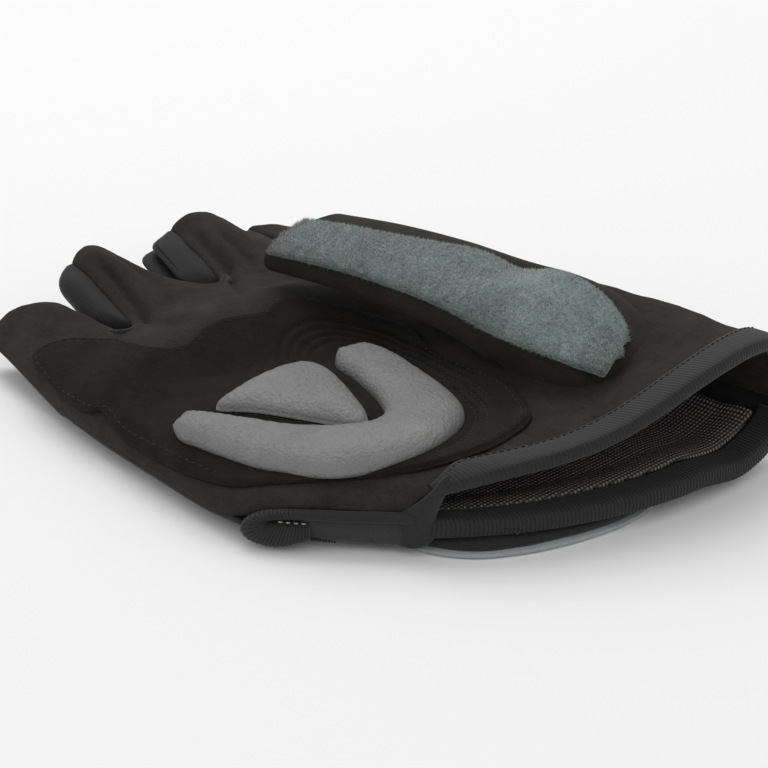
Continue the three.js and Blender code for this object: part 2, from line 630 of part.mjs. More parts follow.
function backLining() {
  const columns = columnsOf(1).slice(5, -2);
  const sheet = new Sheet().grid(columns.length - 1, 5, (i, j) => {
    const t = BACK_ROWS[j + 1];
    return handPoint(columnX(columns[i], t), t, "back");
  });
  return wall(sheet, STRETCH + GAP, STRETCH + GAP + LINING);
}

const COLOURS = {
  palm_panel: 0x2d2c29,
  back_panel: 0x262527,
  fork_pinky_ring: 0x282628,
  fork_ring_middle: 0x282628,
  fork_middle_index: 0x282628,
  thumb_shell: 0x242321,
  thumb_wipe: 0x707a78,
  palm_patch: 0x2c2b29,
  heel_pad_outer: 0x7d8183,
  heel_pad_inner: 0x7d8183,
  palm_cuff_binding: 0x2a2a2a,
  back_cuff_binding: 0x2a2a2a,
  strap_root: 0x343434,
  closure_strap: 0x1c1c1c,
  strap_cover: 0x787c7e,
  slit_binding: 0x292929,
  back_lining: 0x1c1c1c,
};

const palmPatch = () => {
  const inside = solidOf(prism(PATCH_OUTLINE, 64));
  return geometryFrom(solidOf(wall(palmSheet, GAP, GAP + PATCH)).intersect(inside));
};

// A piece cut back from the palm and the back, so that it stands clear of both
const backSheet = handSheet("back", BACK_ROWS, 1);
const backShell = solidOf(wall(backSheet, -0.2, STRETCH + 0.2));
const shells = solidOf(wall(palmSheet, -SUEDE - 0.2, 0.2)).add(backShell);
const clearOfHand = (geometry) => largest(solidOf(geometry).subtract(shells));

const MESHES = {
  palm_panel: palmPanel(),
  back_panel: wall(backSheet, 0, STRETCH),
  fork_pinky_ring: fork(0),
  fork_ring_middle: fork(1),
  fork_middle_index: fork(2),
  thumb_shell: thumbShell(),
  thumb_wipe: thumbWipe(),
  palm_patch: palmPatch(),
  heel_pad_outer: outerPad(),
  heel_pad_inner: innerPad(),
  palm_cuff_binding: clearOfHand(cuffTape("palm", 0, 7, 3)),
  back_cuff_binding: cuffTape("back", 1, 5, 4.4),
  strap_root: strapRoot(),
  closure_strap: strapPlate(STRAP_COVER + GAP, STRAP_COVER + GAP + STRAP, 1.2),
  strap_cover: strapPlate(0, STRAP_COVER, 0),
  slit_binding: clearOfHand(slitTape()),
  back_lining: backLining(),
};

const group = new THREE.Group();
for (const [name, geometry] of Object.entries(MESHES)) {
  const material = new THREE.MeshStandardMaterial({ color: COLOURS[name], roughness: 0.9, metalness: 0 });
  const mesh = new THREE.Mesh(geometry, material);
  mesh.name = name;
  group.add(mesh);
}
// The origin is the middle of the bottom of the glove's box.
const box = new THREE.Box3().setFromObject(group);
group.position.set(-(box.min.x + box.max.x) / 2, -(box.min.y + box.max.y) / 2, -box.min.z);
export default group;
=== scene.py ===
# The looks of a short-finger fitness glove for the right hand, lying palm up on a table.
# X runs to the thumb side, Y to the fingers and Z up. The tables are in millimetres, with
# the middle of the palm near 0, 0, and place() brings them into the frame's metres.
import bpy
import numpy as np
from mathutils import Matrix, Vector, noise


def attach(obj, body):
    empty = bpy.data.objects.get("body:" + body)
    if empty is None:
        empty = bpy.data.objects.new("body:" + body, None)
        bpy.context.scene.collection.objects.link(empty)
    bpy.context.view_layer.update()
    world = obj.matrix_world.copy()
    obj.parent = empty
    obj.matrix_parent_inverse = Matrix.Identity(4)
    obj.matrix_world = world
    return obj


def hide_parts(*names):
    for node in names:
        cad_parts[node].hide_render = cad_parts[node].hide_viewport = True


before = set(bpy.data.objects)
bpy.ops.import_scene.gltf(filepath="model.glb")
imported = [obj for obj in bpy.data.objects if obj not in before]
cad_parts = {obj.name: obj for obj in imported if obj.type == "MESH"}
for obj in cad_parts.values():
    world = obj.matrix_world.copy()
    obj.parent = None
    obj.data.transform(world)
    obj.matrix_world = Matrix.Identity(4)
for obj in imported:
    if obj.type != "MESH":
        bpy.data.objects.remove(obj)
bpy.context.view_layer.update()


# The camera and the light
# A photographer's table: a large soft light above and behind, and two weak ones at the side
# and in front. The camera stands low at the glove's pinky side.
MM = 0.001
# From the tables' origin to the middle of the bottom of the glove's box
TO_FRAME = np.array([-0.202, 2.103, 0.168])
CAMERA_AT = (-252, -283, 188)
CAMERA_TURN, CAMERA_TILT = -42.7, 25.7
HALF_VIEW = 10
SENSOR = 36
# The name, place, size in metres and power of each light
LIGHTS = [
    ("top_light", (0.25, 0.45, 0.95), 0.9, 4.8),
    ("side_light", (-0.9, 0.25, 0.6), 0.6, 0.7),
    ("front_light", (-0.2, -0.9, 0.7), 0.8, 1.0),
]
WORLD_POWER = 0.665


def place(points):
    """Points of the tables as points of the frame."""
    return (np.asarray(points, float) + TO_FRAME) * MM


def camera():
    turn, tilt = np.radians(CAMERA_TURN), np.radians(CAMERA_TILT)
    back = Vector((np.sin(turn) * np.cos(tilt), -np.cos(turn) * np.cos(tilt), np.sin(tilt)))
    right = Vector((np.cos(turn), np.sin(turn), 0))
    up = back.cross(right)
    data = bpy.data.cameras.new("camera")
    data.sensor_width = SENSOR
    data.lens = SENSOR / 2 / np.tan(np.radians(HALF_VIEW))
    data.clip_start = 0.01
    made = bpy.data.objects.new("camera", data)
    axes = Matrix((right, up, back)).transposed().to_4x4()
    made.matrix_world = Matrix.Translation(place(CAMERA_AT)) @ axes
    bpy.context.scene.collection.objects.link(made)
    bpy.context.scene.camera = made


def area_light(name, at, size, power):
    """A round light that faces the glove."""
    data = bpy.data.lights.new(name, "AREA")
    data.shape = "DISK"
    data.size = size
    data.energy = power
    made = bpy.data.objects.new(name, data)
    facing_glove = Vector(at).to_track_quat("Z", "Y").to_matrix().to_4x4()
    made.matrix_world = Matrix.Translation(at) @ facing_glove
    bpy.context.scene.collection.objects.link(made)


camera()
for light in LIGHTS:
    area_light(*light)
bpy.context.scene.view_settings.view_transform = "Standard"
world = bpy.data.worlds.new("studio")
bpy.context.scene.world = world
world.use_nodes = True
background = world.node_tree.nodes["Background"]
background.inputs["Color"].default_value = (1, 1, 1, 1)
background.inputs["Strength"].default_value = WORLD_POWER


# The palm
# One piece of soft brownish-black suede runs from the cuff up the palm side of the four
# short fingers. It is cut flat, shaped over the hand by the seams, and open at every end.
# The side seams by t, from the cuff to the crotches: their x and their heights
HAND = {
    "t": [0, 0.07, 0.14, 0.2, 0.3, 0.52, 0.78, 1],
    "ulnar": [-29.5, -40.8, -46.4, -48.0, -48.6, -48.0, -47.2, -45.6],
    "radial": [46.5, 46.4, 46.3, 46.2, 46.0, 46.2, 47.6, 49.0],
    "ulnar_seam": [7.7, 7.5, 5.7, 4.2, 3.9, 3.8, 3.8, 3.8],
    "slit_seam": [5.0, 3.0, 3.4, 4.2, 3.9, 3.8, 3.8, 3.8],
    "radial_seam": [12.0, 11.5, 11.0, 10.5, 10.0, 9.0, 7.5, 6.5],
}
# The palm's height by t, at five places across it
CROWN_X = [-40, -20, 0, 20, 40]
CROWN = {
    "t": [0, 0.12, 0.3, 0.5, 0.68, 0.84, 1],
    -40: [12.0, 13.0, 12.6, 12.4, 11.8, 13.5, 12.8],
    -20: [15.6, 14.2, 12.8, 12.6, 11.2, 16.2, 13.8],
    0: [18.6, 15.8, 12.5, 11.2, 10.5, 16.4, 14.2],
    20: [25.5, 22.5, 18.5, 13.0, 11.0, 13.0, 13.2],
    40: [30.0, 30.6, 30.6, 27.6, 20.0, 14.5, 12.5],
}
# The cuff's edge and the line of the crotches, in plan
CUFF = {
    "x": [-48, -40, -30, -20, -10, 0, 10, 20, 30, 40, 48],
    "y": [-36, -41, -48, -55.5, -61.3, -65.3, -68.1, -69.6, -70, -69.6, -68.5],
}
KNUCKLES = {"x": [-48, -40, -25, 0.6, 26, 40, 49], "y": [30, 32.5, 36.5, 40, 38.5, 35, 31]}
CROTCHES = [-25, 0.6, 26]
# Each finger's open end: its two corners, the palm's peak between them and the back's height
FINGERS = [
    {"ulnar": (-40.5, 64, 6.0), "radial": (-27.4, 53, 12.6), "peak": 4.5, "peak_at": 0.45, "back": 2.5},
    {"ulnar": (-18.8, 64, 17.2), "radial": (-6.8, 61, 13.0), "peak": 4.2, "peak_at": 0.4, "back": 5.5},
    {"ulnar": (8.8, 66.5, 16.4), "radial": (22.0, 64.5, 14.6), "peak": 2.9, "peak_at": 0.5, "back": 5.5},
    {"ulnar": (26.8, 62, 13.0), "radial": (46.0, 54, 6.0), "peak": 2.0, "peak_at": 0.35, "back": 4.0},
]
FORK_RADIUS = 2.8
SIDE_POWER = 3.2
BACK_POWER = 2.5
STRAP_LIFT = 2.6
TAPE_LIFT = 1.4
SUEDE = 1.6
SUEDE_EDGE = 1.0
# The hole in the palm under the thumb stall: its centre and its half size
THUMB_HOLE = np.array([24, -37]), np.array([8, 10.5])
# How low any surface may lie, so that nothing sinks into the table
ON_TABLE = 0.02


def smooth(keys, values, at):
    """A smooth curve through a table's column, held flat past both ends."""
    keys = np.asarray(keys, float)
    values = np.asarray(values, float)
    at = np.clip(np.asarray(at, float), keys[0], keys[-1])
    i = np.clip(np.searchsorted(keys, at, side="right") - 1, 0, len(keys) - 2)
    before = np.maximum(i - 1, 0)
    after = np.minimum(i + 2, len(keys) - 1)
    span = keys[i + 1] - keys[i]
    f = (at - keys[i]) / span
    if values.ndim == 1:
        a, b, c, d = (values[n] for n in (before, i, i + 1, after))
    else:
        lane = np.arange(len(at))
        a, b, c, d = (values[n, lane] for n in (before, i, i + 1, after))
    slope_b = (c - a) / (keys[i + 1] - keys[before]) * span
    slope_c = (d - b) / (keys[after] - keys[i]) * span
    f2, f3 = f ** 2, f ** 3
    start = (2 * f3 - 3 * f2 + 1) * b + (f3 - 2 * f2 + f) * slope_b
    return start + (3 * f2 - 2 * f3) * c + (f3 - f2) * slope_c


def ease(v):
    v = np.clip(v, 0, 1)
    return v * v * (3 - 2 * v)


def bell(v):
    return np.exp(-v ** 2)


def hand(column, t):
    return smooth(HAND["t"], HAND[column], t)


def cuff_y(x):
    return smooth(CUFF["x"], CUFF["y"], x)


def knuckle_y(x):
    return smooth(KNUCKLES["x"], KNUCKLES["y"], x)


def hand_share(x, y):
    """How far places in plan are from the cuff to the crotches, from 0 to 1."""
    return np.clip((y - cuff_y(x)) / (knuckle_y(x) - cuff_y(x)), 0, 1)


def crown_z(x, t):
    return smooth(CROWN_X, [smooth(CROWN["t"], CROWN[at], t) for at in CROWN_X], x)


def back_floor(x, y):
    """The back's lowest height: over the strap and the tape near the cuff, else the table."""
    inboard = y - cuff_y(x)
    over_strap = ease((-29 - y) / 7) * ease((34 - x) / 14) * ease((x + 36) / 6)
    return STRAP_LIFT * over_strap + TAPE_LIFT * ease((13 - inboard) / 6) * ease((x + 37) / 7)


def hand_point(x, t, side):
    """Points of the palm or the back at x, and t from the cuff to the crotches."""
    x, t = np.broadcast_arrays(np.asarray(x, float), np.asarray(t, float))
    x, t = x.ravel(), t.ravel()
    left, right = hand("ulnar", t), hand("radial", t)
    across = np.clip((2 * x - left - right) / (right - left), -1, 1)
    first = hand("ulnar_seam" if side == "palm" else "slit_seam", t)
    seam = first + (hand("radial_seam", t) - first) * (across + 1) / 2
    y = cuff_y(x) + (knuckle_y(x) - cuff_y(x)) * t
    far = crown_z(x, t) if side == "palm" else back_floor(x, y)
    power = np.where((side == "back") & (across > 0), BACK_POWER, SIDE_POWER)
    rise = (1 - np.abs(across) ** power) ** (1 / power)
    return np.stack([x, y, seam + (far - seam) * rise], 1)


def column_x(u, t):
    """The x of a fraction across the hand, from 0 to 4 with a crotch at each whole number."""
    left, right = hand("ulnar", t), hand("radial", t)
    half = (HAND["radial"][-1] - HAND["ulnar"][-1]) / 2
    middle = (HAND["radial"][-1] + HAND["ulnar"][-1]) / 2
    marks = [-1, *(2 / np.pi * np.arcsin((np.array(CROTCHES) - middle) / half)), 1]
    turn = np.interp(u, range(5), marks)
    return (left + right) / 2 + (right - left) / 2 * np.sin(turn * np.pi / 2)


def fork_width(distance):
    near = np.clip(distance / FORK_RADIUS, 0, 1)
    return FORK_RADIUS * np.sqrt(1 - (1 - near) ** 2)


def inboard_point(x, inboard, side):
    """Points of the palm or the back at x, by how far they are from the cuff's edge."""
    return hand_point(x, inboard / (knuckle_y(x) - cuff_y(x)), side)


def finger_point(n, across, w, side):
    """Points of finger n: across it, and w from the crotch line to its opening."""
    across, w = np.broadcast_arrays(np.asarray(across, float), np.asarray(w, float))
    across, w = across.ravel(), w.ravel()
    finger = FINGERS[n]
    start = hand_point(column_x(n + across, np.ones_like(across)), 1.0, side)
    ulnar, radial = np.array(finger["ulnar"]), np.array(finger["radial"])
    tip = ulnar + (radial - ulnar) * across[:, None]
    reach = tip[:, 1] - start[:, 1]
    free = fork_width(w * reach) - w * FORK_RADIUS
    spread = (n > 0) * free * (1 - across) - (n < 3) * free * across
    p = start + (tip - start) * w[:, None]
    p[:, 0] += spread
    peak_at = finger["peak_at"]
    shift = (across - peak_at) / np.where(across < peak_at, peak_at, 1 - peak_at)
    rise = ease(w * 1.05)
    if side == "palm":
        far = tip[:, 2] + finger["peak"] * (1 - np.abs(shift) ** 2.2)
    else:
        edge = np.full_like(across, finger["back"] + 2.2)
        if n == 0:
            edge[across < 0.5] = ulnar[2]
        if n == 3:
            edge[across > 0.5] = radial[2]
        far = finger["back"] + (edge - finger["back"]) * np.abs(2 * across - 1) ** 3
    p[:, 2] = start[:, 2] + (far - start[:, 2]) * rise
    return p


def grid(columns, rows, at):
    """A grid of points by a function of its column and row, and its four-sided faces."""
    u, v = (g.ravel() for g in np.meshgrid(columns, rows, indexing="ij"))
    cells = np.meshgrid(range(len(columns) - 1), range(len(rows) - 1), indexing="ij")
    i, j = (g.ravel() for g in cells)
    n = len(rows)
    corner = i * n + j
    return at(u, v), np.stack([corner, corner + n, corner + n + 1, corner + 1], 1)


def joined(parts):
    """Several grids as one sheet, with the points that they share merged."""
    points, faces, count = [], [], 0
    for p, f in parts:
        points.append(p)
        faces.append(f + count)
        count += len(p)
    points, faces = np.concatenate(points), np.concatenate(faces)
    keys = np.round(points * 200).astype(int)
    _, first, to = np.unique(keys, axis=0, return_index=True, return_inverse=True)
    return points[first], np.asarray(to).ravel()[faces]


def unit(v):
    return v / np.maximum(np.linalg.norm(v, axis=1, keepdims=True), 1e-9)


def normals_of(points, faces, level=None):
    """Point normals of four-sided faces. They are turned level where the sheet meets a seam."""
    a, b, c, d = (points[faces[:, n]] for n in range(4))
    across = np.cross(c - a, d - b)
    normals = np.zeros_like(points)
    for n in range(4):
        np.add.at(normals, faces[:, n], across)
    if level is not None:
        normals[level, 2] = 0
    return unit(normals)


def wall(points, faces, low, high, level=None):
    """A closed cloth wall between two offsets of a sheet. Its free edges are round."""
    normals = normals_of(points, faces, level)
    count = len(points)
    sides = np.concatenate([faces[:, [n, (n + 1) % 4]] for n in range(4)])
    sides = sides[sides[:, 0] != sides[:, 1]]
    code = sides[:, 0] * count + sides[:, 1]
    lone = ~np.isin(code, sides[:, 1] * count + sides[:, 0])
    rim = sides[lone]
    out = np.zeros_like(points)
    away = np.cross(points[rim[:, 1]] - points[rim[:, 0]], normals[rim[:, 0]])
    np.add.at(out, rim[:, 0], away)
    np.add.at(out, rim[:, 1], away)
    out = unit(out)
    if level is not None:
        out[level] = 0
    ids = np.unique(rim)
    where = np.zeros(count, int)
    where[ids] = np.arange(len(ids))
    low, high = (np.broadcast_to(np.asarray(v, float), count)[:, None] for v in (low, high))
    half, middle = (high - low) / 2, (high + low) / 2
    layers = [points + normals * high]
    for angle in np.radians([45, 90, 135]):
        lift = normals[ids] * (middle + half * np.cos(angle))[ids]
        layers.append(points[ids] + lift + out[ids] * (half[ids] * np.sin(angle)))
    layers.append(points + normals * low)
    starts = np.cumsum([0] + [len(layer) for layer in layers])
    made = [faces, faces[:, ::-1] + starts[-2]]
    strips = [rim, *(where[rim] + s for s in starts[1:4]), rim + starts[-2]]
    for near, far in zip(strips, strips[1:]):
        made.append(np.stack([near[:, 1], near[:, 0], far[:, 0], far[:, 1]], 1))
    return np.concatenate(layers), np.concatenate(made)


def turned_out(points, faces):
    """Faces the right way out, by the sign of the volume."""
    a, b, c, d = (points[faces[:, n]] for n in range(4))
    volume = (a * np.cross(b, c)).sum() + (a * np.cross(c, d)).sum()
    return faces if volume > 0 else faces[:, ::-1]


def piece(name, points, faces, finish, uv=None):
    """A mesh object in the frame, smooth shaded, with its material."""
    mesh = bpy.data.meshes.new(name)
    rows = [tuple(dict.fromkeys(f)) for f in faces.tolist()]
    points = place(points)
    points[:, 2] = np.maximum(points[:, 2], ON_TABLE * MM)
    mesh.from_pydata(points.tolist(), [], [f for f in rows if len(f) > 2])
    if uv is not None:
        layer = mesh.uv_layers.new(name="UVMap")
        corner = np.empty(len(mesh.loops), int)
        mesh.loops.foreach_get("vertex_index", corner)
        layer.data.foreach_set("uv", np.asarray(uv, float)[corner].ravel())
    mesh.polygons.foreach_set("use_smooth", [True] * len(mesh.polygons))
    mesh.materials.append(finish.material)
    mesh.update()
    made = bpy.data.objects.new(name, mesh)
    bpy.context.scene.collection.objects.link(made)
    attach(made, "root")
    return made


def hand_sheet(side, across, body_rows, finger_rows):
    """The palm or the back: the hand's body and its four finger stalls."""
    columns, rows = np.linspace(0, 4, 4 * across + 1), np.linspace(0, 1, body_rows + 1)
    parts = [grid(columns, rows, lambda u, t: hand_point(column_x(u, t), t, side))]
    columns, rows = np.linspace(0, 1, across + 1), np.linspace(0, 1, finger_rows + 1) ** 1.7
    for n in range(4):
        parts.append(grid(columns, rows, lambda a, w: finger_point(n, a, w, side)))
    return joined(parts)


def seam_points(points):
    """Which of a hand sheet's points lie on the side seams."""
    x, y = points[:, 0], points[:, 1]
    t = hand_share(x, y)
    found = np.minimum(np.abs(x - hand("ulnar", t)), np.abs(x - hand("radial", t))) < 0.02
    w = np.linspace(0, 1, 400)
    for n, across in ((0, 0.0), (3, 1.0)):
        line = finger_point(n, across, w, "palm")
        off = np.abs(x - np.interp(y, line[:, 1], line[:, 0]))
        found |= (off < 0.03) & (y > line[0, 1])
    return found


# A material is made of nodes: Finish adds them, and a Value does the sums between them.
class Value:
    """A shader socket that adds its Math nodes when it is used in an expression."""

    def __init__(self, socket):
        self.socket = socket

    def sum(self, operation, other):
        tree = self.socket.node.id_data
        node = tree.nodes.new("ShaderNodeMath")
        node.operation = operation
        tree.links.new(self.socket, node.inputs[0])
        if isinstance(other, Value):
            tree.links.new(other.socket, node.inputs[1])
        else:
            node.inputs[1].default_value = other
        return Value(node.outputs[0])

    def __add__(self, other):
        return self.sum("ADD", other)

    def __sub__(self, other):
        return self.sum("SUBTRACT", other)

    def __mul__(self, other):
        return self.sum("MULTIPLY", other)

    def clamped(self):
        return self.sum("MAXIMUM", 0.0).sum("MINIMUM", 1.0)


class Finish:
    """One material, and the way to add its nodes."""

    def __init__(self, name, **constants):
        self.material = bpy.data.materials.new(name)
        self.material.use_nodes = True
        self.tree = self.material.node_tree
        self.shader = self.tree.nodes["Principled BSDF"]
        for socket, value in constants.items():
            self.shader.inputs[socket.replace("_", " ")].default_value = value

    def node(self, kind, settings, sockets, output=0):
        """A node with its settings, the values or links of its sockets, and one output."""
        made = self.tree.nodes.new("ShaderNode" + kind)
        for key, value in settings.items():
            setattr(made, key, value)
        for key, value in sockets.items():
            if isinstance(value, Value):
                self.tree.links.new(value.socket, made.inputs[key])
            else:
                made.inputs[key].default_value = value
        return Value(made.outputs[output])

    def give(self, **links):
        for socket, value in links.items():
            self.tree.links.new(value.socket, self.shader.inputs[socket.replace("_", " ")])

    def spot(self):
        return self.node("TexCoord", {}, {}, "Object")

    def mark(self, name):
        """The values of an attribute of the mesh."""
        return self.node("Attribute", {"attribute_name": name}, {}, "Fac")

    def noise(self, size, detail, rough, at=None, warp=0.0):
        """Soft noise with features of that size in millimetres."""
        shape = {"Scale": 1000 / size, "Detail": detail, "Roughness": rough, "Distortion": warp}
        return self.node("TexNoise", {}, {"Vector": at or self.spot(), **shape})

    def mix(self, first, second, share):
        """A colour between two, by a share that is held from 0 to 1."""
        return self.node("Mix", {"data_type": "RGBA"}, {0: share.clamped(), 6: first, 7: second}, 2)

    def bump(self, height, distance, strength):
        """A bumped normal. distance is in millimetres."""
        return self.node("Bump", {}, {"Height": height, "Distance": distance * MM, "Strength": strength})


def linear(value):
    """One channel as the eye sees it, from 0 to 255, for a shader."""
    return ((value / 255 + 0.055) / 1.055) ** 2.4 if value > 10 else value / 255 / 12.92


def colour(red, green, blue):
    return (linear(red), linear(green), linear(blue), 1)


def suede(name, base, light, nap=1.0):
    """Brushed suede: short nap that lies in soft patches, with a fine speckle."""
    made = Finish(name, Roughness=0.92, Sheen_Weight=0.03, Sheen_Roughness=0.45, Specular_IOR_Level=0.12)
    grain = made.noise(0.35, 4, 0.7)
    brushed = {"Vector": made.spot(), "Scale": (1.0, 0.35, 1.0), "Rotation": (0, 0, 0.5)}
    fibre = made.noise(0.9, 3, 0.6, made.node("Mapping", {}, brushed))
    patches = made.noise(9, 4, 0.6, warp=0.6)
    tone = (patches - 0.5) * 0.9 + (grain - 0.5) * 0.9 * nap + (fibre - 0.5) * 0.5 + 0.45
    made.give(
        Base_Color=made.mix(base, light, tone),
        Roughness=(grain * 0.16 + 0.86).clamped(),
        Normal=made.bump(grain * 0.6 + fibre * 0.7, 0.18 * nap, 0.7),
    )
    return made


PALM_SUEDE = suede("palm_suede", colour(25, 24, 22), colour(60, 58, 54))
THUMB_SUEDE = suede("thumb_suede", colour(29, 28, 26), colour(59, 57, 53))
# Creases and rolls of the palm: the line each follows, its half width and how far it rises.
FOLDS = [
    ([(-17.2, 57.5), (-17.6, 49.3), (-18.7, 41.6), (-23.0, 31.0)], 0.9, -1.5),
    ([(-14.6, 57.0), (-14.9, 49.5), (-16.0, 41.8), (-19.5, 32.0)], 1.9, 0.7),
    ([(-10.5, 52.0), (-11.0, 44.0), (-14.0, 36.0)], 1.7, -0.5),
    ([(9.6, 60.5), (7.7, 50.1), (6.4, 44.4), (-0.1, 33.3), (-6.0, 23.0)], 1.0, -1.4),
    ([(12.2, 60.0), (10.4, 50.1), (9.0, 43.4), (3.5, 32.3)], 1.8, 0.6),
    ([(13.6, 54.5), (13.4, 47.5), (11.0, 40.5)], 1.3, -0.6),
    ([(-38.3, 34.0), (-39.1, 25.3), (-39.0, 17.5)], 1.1, -0.7),
    ([(-36.0, 33.0), (-36.6, 25.3), (-36.6, 17.5)], 1.8, 0.35),
    ([(-40.0, 58.0), (-38.6, 50.0), (-37.2, 42.0)], 1.2, -0.6),
    ([(-33.5, 4.0), (-22.0, 8.2), (-10.0, 10.4), (4.0, 11.4)], 1.6, -0.6),
    ([(-30.0, 9.5), (-20.0, 13.4), (-8.0, 14.8), (6.0, 14.2)], 2.4, 0.5),
    ([(2.0, 31.0), (12.0, 33.0), (24.0, 31.0)], 1.8, -0.5),
    ([(-28.0, -52.0), (-20.0, -56.0), (-10.0, -60.0)], 2.0, 0.4),
    ([(15.0, -48.0), (24.0, -56.0), (36.0, -60.0)], 2.6, -0.6),
]


def from_line(x, y, line):
    """How far places in plan are from a line of points, and how far along it they lie."""
    best, share = np.full(len(x), 1e9), np.zeros(len(x))
    line = np.asarray(line, float)
    count = len(line) - 1
    for n in range(count):
        (ax, ay), (bx, by) = line[n], line[n + 1]
        f = ((x - ax) * (bx - ax) + (y - ay) * (by - ay)) / ((bx - ax) ** 2 + (by - ay) ** 2)
        f = np.clip(f, 0, 1)
        away = np.hypot(x - ax - f * (bx - ax), y - ay - f * (by - ay))
        nearer = away < best
        best = np.where(nearer, away, best)
        share = np.where(nearer, (n + f) / count, share)
    return best, share


def palm_shape(x, y):
    """The palm's folds, as a height above its smooth form."""
    lift = np.zeros(len(x))
    for line, wide, rise in FOLDS:
        away, share = from_line(x, y, line)
        lift += rise * bell(away / wide) * ease((1 - share) / 0.3) * ease(share / 0.12 + 0.3)
    return lift


def softness(points):
    """Small unevenness of cloth that nothing stretches."""
    spots = [Vector(p) for p in points]
    return np.array([noise.noise(p * 0.16) * 0.4 + noise.noise(p * 0.5) * 0.1 for p in spots])


def palm_panel():
    points, faces = hand_sheet("palm", 36, 84, 26)
    level = seam_points(points)
    normals = normals_of(points, faces, level)
    lift = (palm_shape(points[:, 0], points[:, 1]) + softness(points)) * ~level
    points = points + normals * lift[:, None]
    centre, half = THUMB_HOLE
    off = np.abs((points[faces].mean(1)[:, :2] - centre) / half) ** 2.5
    faces = faces[off.sum(1) >= 1]
    inboard = points[:, 1] - cuff_y(points[:, 0])
    thick = SUEDE_EDGE + (SUEDE - SUEDE_EDGE) * ease((inboard - 2) / 3)
    made = piece("suede_palm", *wall(points, faces, -thick, 0, level), PALM_SUEDE)
    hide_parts("palm_panel")


palm_panel()


# The back
# The back of the glove is one piece of thin black two-way stretch cloth, sewn to the palm
# along both sides. It lies on the table, pressed flat by the glove's own weight.
STRETCH = 1.3
KNIT_PITCH = 0.32


def knit():
    """Fine stretch knit: narrow rows of stitches that catch a little light."""
    made = Finish("lycra", Roughness=0.7, Sheen_Weight=0.08, Specular_IOR_Level=0.2)
    bands = {"Vector": made.spot(), "Scale": 1000 / KNIT_PITCH / 6.28, "Distortion": 0.6, "Detail": 1.0}
    rows, courses = (made.node("TexWave", {"bands_direction": axis}, bands) for axis in "XY")
    patches = made.noise(12, 3, 0.5)
    loops = rows * courses
    tone = loops * 0.35 + (patches - 0.5) * 0.8 + 0.3
    made.give(
        Base_Color=made.mix(colour(19, 18, 20), colour(44, 42, 45), tone),
        Roughness=(patches * 0.2 + 0.62).clamped(),
        Normal=made.bump(loops, 0.04, 0.5),
    )
    return made


LYCRA = knit()


def back_panel():
    points, faces = hand_sheet("back", 30, 60, 22)
    cloth = wall(points, faces[:, ::-1], -STRETCH, 0, seam_points(points))
    made = piece("stretch_back", *cloth, LYCRA)
    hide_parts("back_panel")


back_panel()


# The fork pieces
# Strips of the same stretch cloth line the gaps between the fingers, from the palm side of
# one finger round the crotch to the next. Their cut is wide, so they bulge and fold.
# How far each strip bulges at its two fingers, where the bulge lies and how deep its fold is
FORKS = [
    {"name": "pinky_ring", "radial_side": 1.0, "ulnar_side": 5.4, "lean": 0.72, "crevice": 0.0},
    {"name": "ring_middle", "radial_side": 1.6, "ulnar_side": 9.6, "lean": 1.15, "crevice": 0.65},
    {"name": "middle_index", "radial_side": 0.4, "ulnar_side": 7.5, "lean": 0.9, "crevice": 0.0},
]


def fork_sheet(n):
    """The strip between finger n and the next. a runs from one finger's end, -1, to the other's, 1."""
    row = FORKS[n]

    def spot(a, side, back=0.0):
        left = finger_point(n, np.full_like(a, 1 - back), np.abs(a), side)
        right = finger_point(n + 1, np.full_like(a, back), np.abs(a), side)
        return np.where(a[:, None] < 0, left, right)

    def framed(a, side):
        at = spot(a, side)
        ahead = unit(spot(np.clip(a + 0.03, -1, 1), side) - spot(np.clip(a - 0.03, -1, 1), side))
        past = at - spot(a, side, 0.06)
        past[np.abs(a) < 0.02] = (0, 1, 0)
        past = unit(past - ahead * (past * ahead).sum(1)[:, None])
        return at, ahead, past

    def at(a, f):
        top, ahead, top_past = framed(a, "palm")
        low, _, low_past = framed(a, "back")
        end = np.clip((np.abs(a) - 0.78) / 0.22, 0, 1)
        swell = np.sin(np.pi * f ** row["lean"]) ** 0.8
        swell *= ease(np.abs(a) * 2.5) * np.sqrt(1 - 0.85 * end ** 2)
        swell *= np.where(a < 0, row["radial_side"], row["ulnar_side"])
        swell *= 1 - row["crevice"] * bell((f - 0.42) / 0.08) * ease(a * 3) * (a > 0)
        out = unit(ahead * (1, 1, 0))
        out = np.stack([-out[:, 1], out[:, 0], np.where(a < 0, 0.45, 0.1)], 1)
        p = top + (low - top) * f[:, None] + out * swell[:, None]
        p += top_past * (0.2 * (1 - f) ** 2)[:, None] + low_past * (0.3 * f ** 2)[:, None]
        p[:, 2] = np.maximum(p[:, 2] - 0.5 * bell(f / 0.06), 0.1)
        return p

    w = np.linspace(0, 1, 41) ** 1.5
    return grid(np.concatenate([-w[:0:-1], w]), np.linspace(0, 1, 41), at)


def facing(points, faces, axis, sign):
    """A sheet, turned over where its middle looks the wrong way along an axis."""
    along = normals_of(points, faces)[len(points) // 2, axis]
    return points, faces[:, ::-1] if along * sign < 0 else faces


def fork(n):
    sheet = facing(*fork_sheet(n), 1, -1)
    made = piece("lycra_fork_" + FORKS[n]["name"], *wall(*sheet, 0, STRETCH), LYCRA)
    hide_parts("fork_" + FORKS[n]["name"])


for number in range(len(FORKS)):
    fork(number)


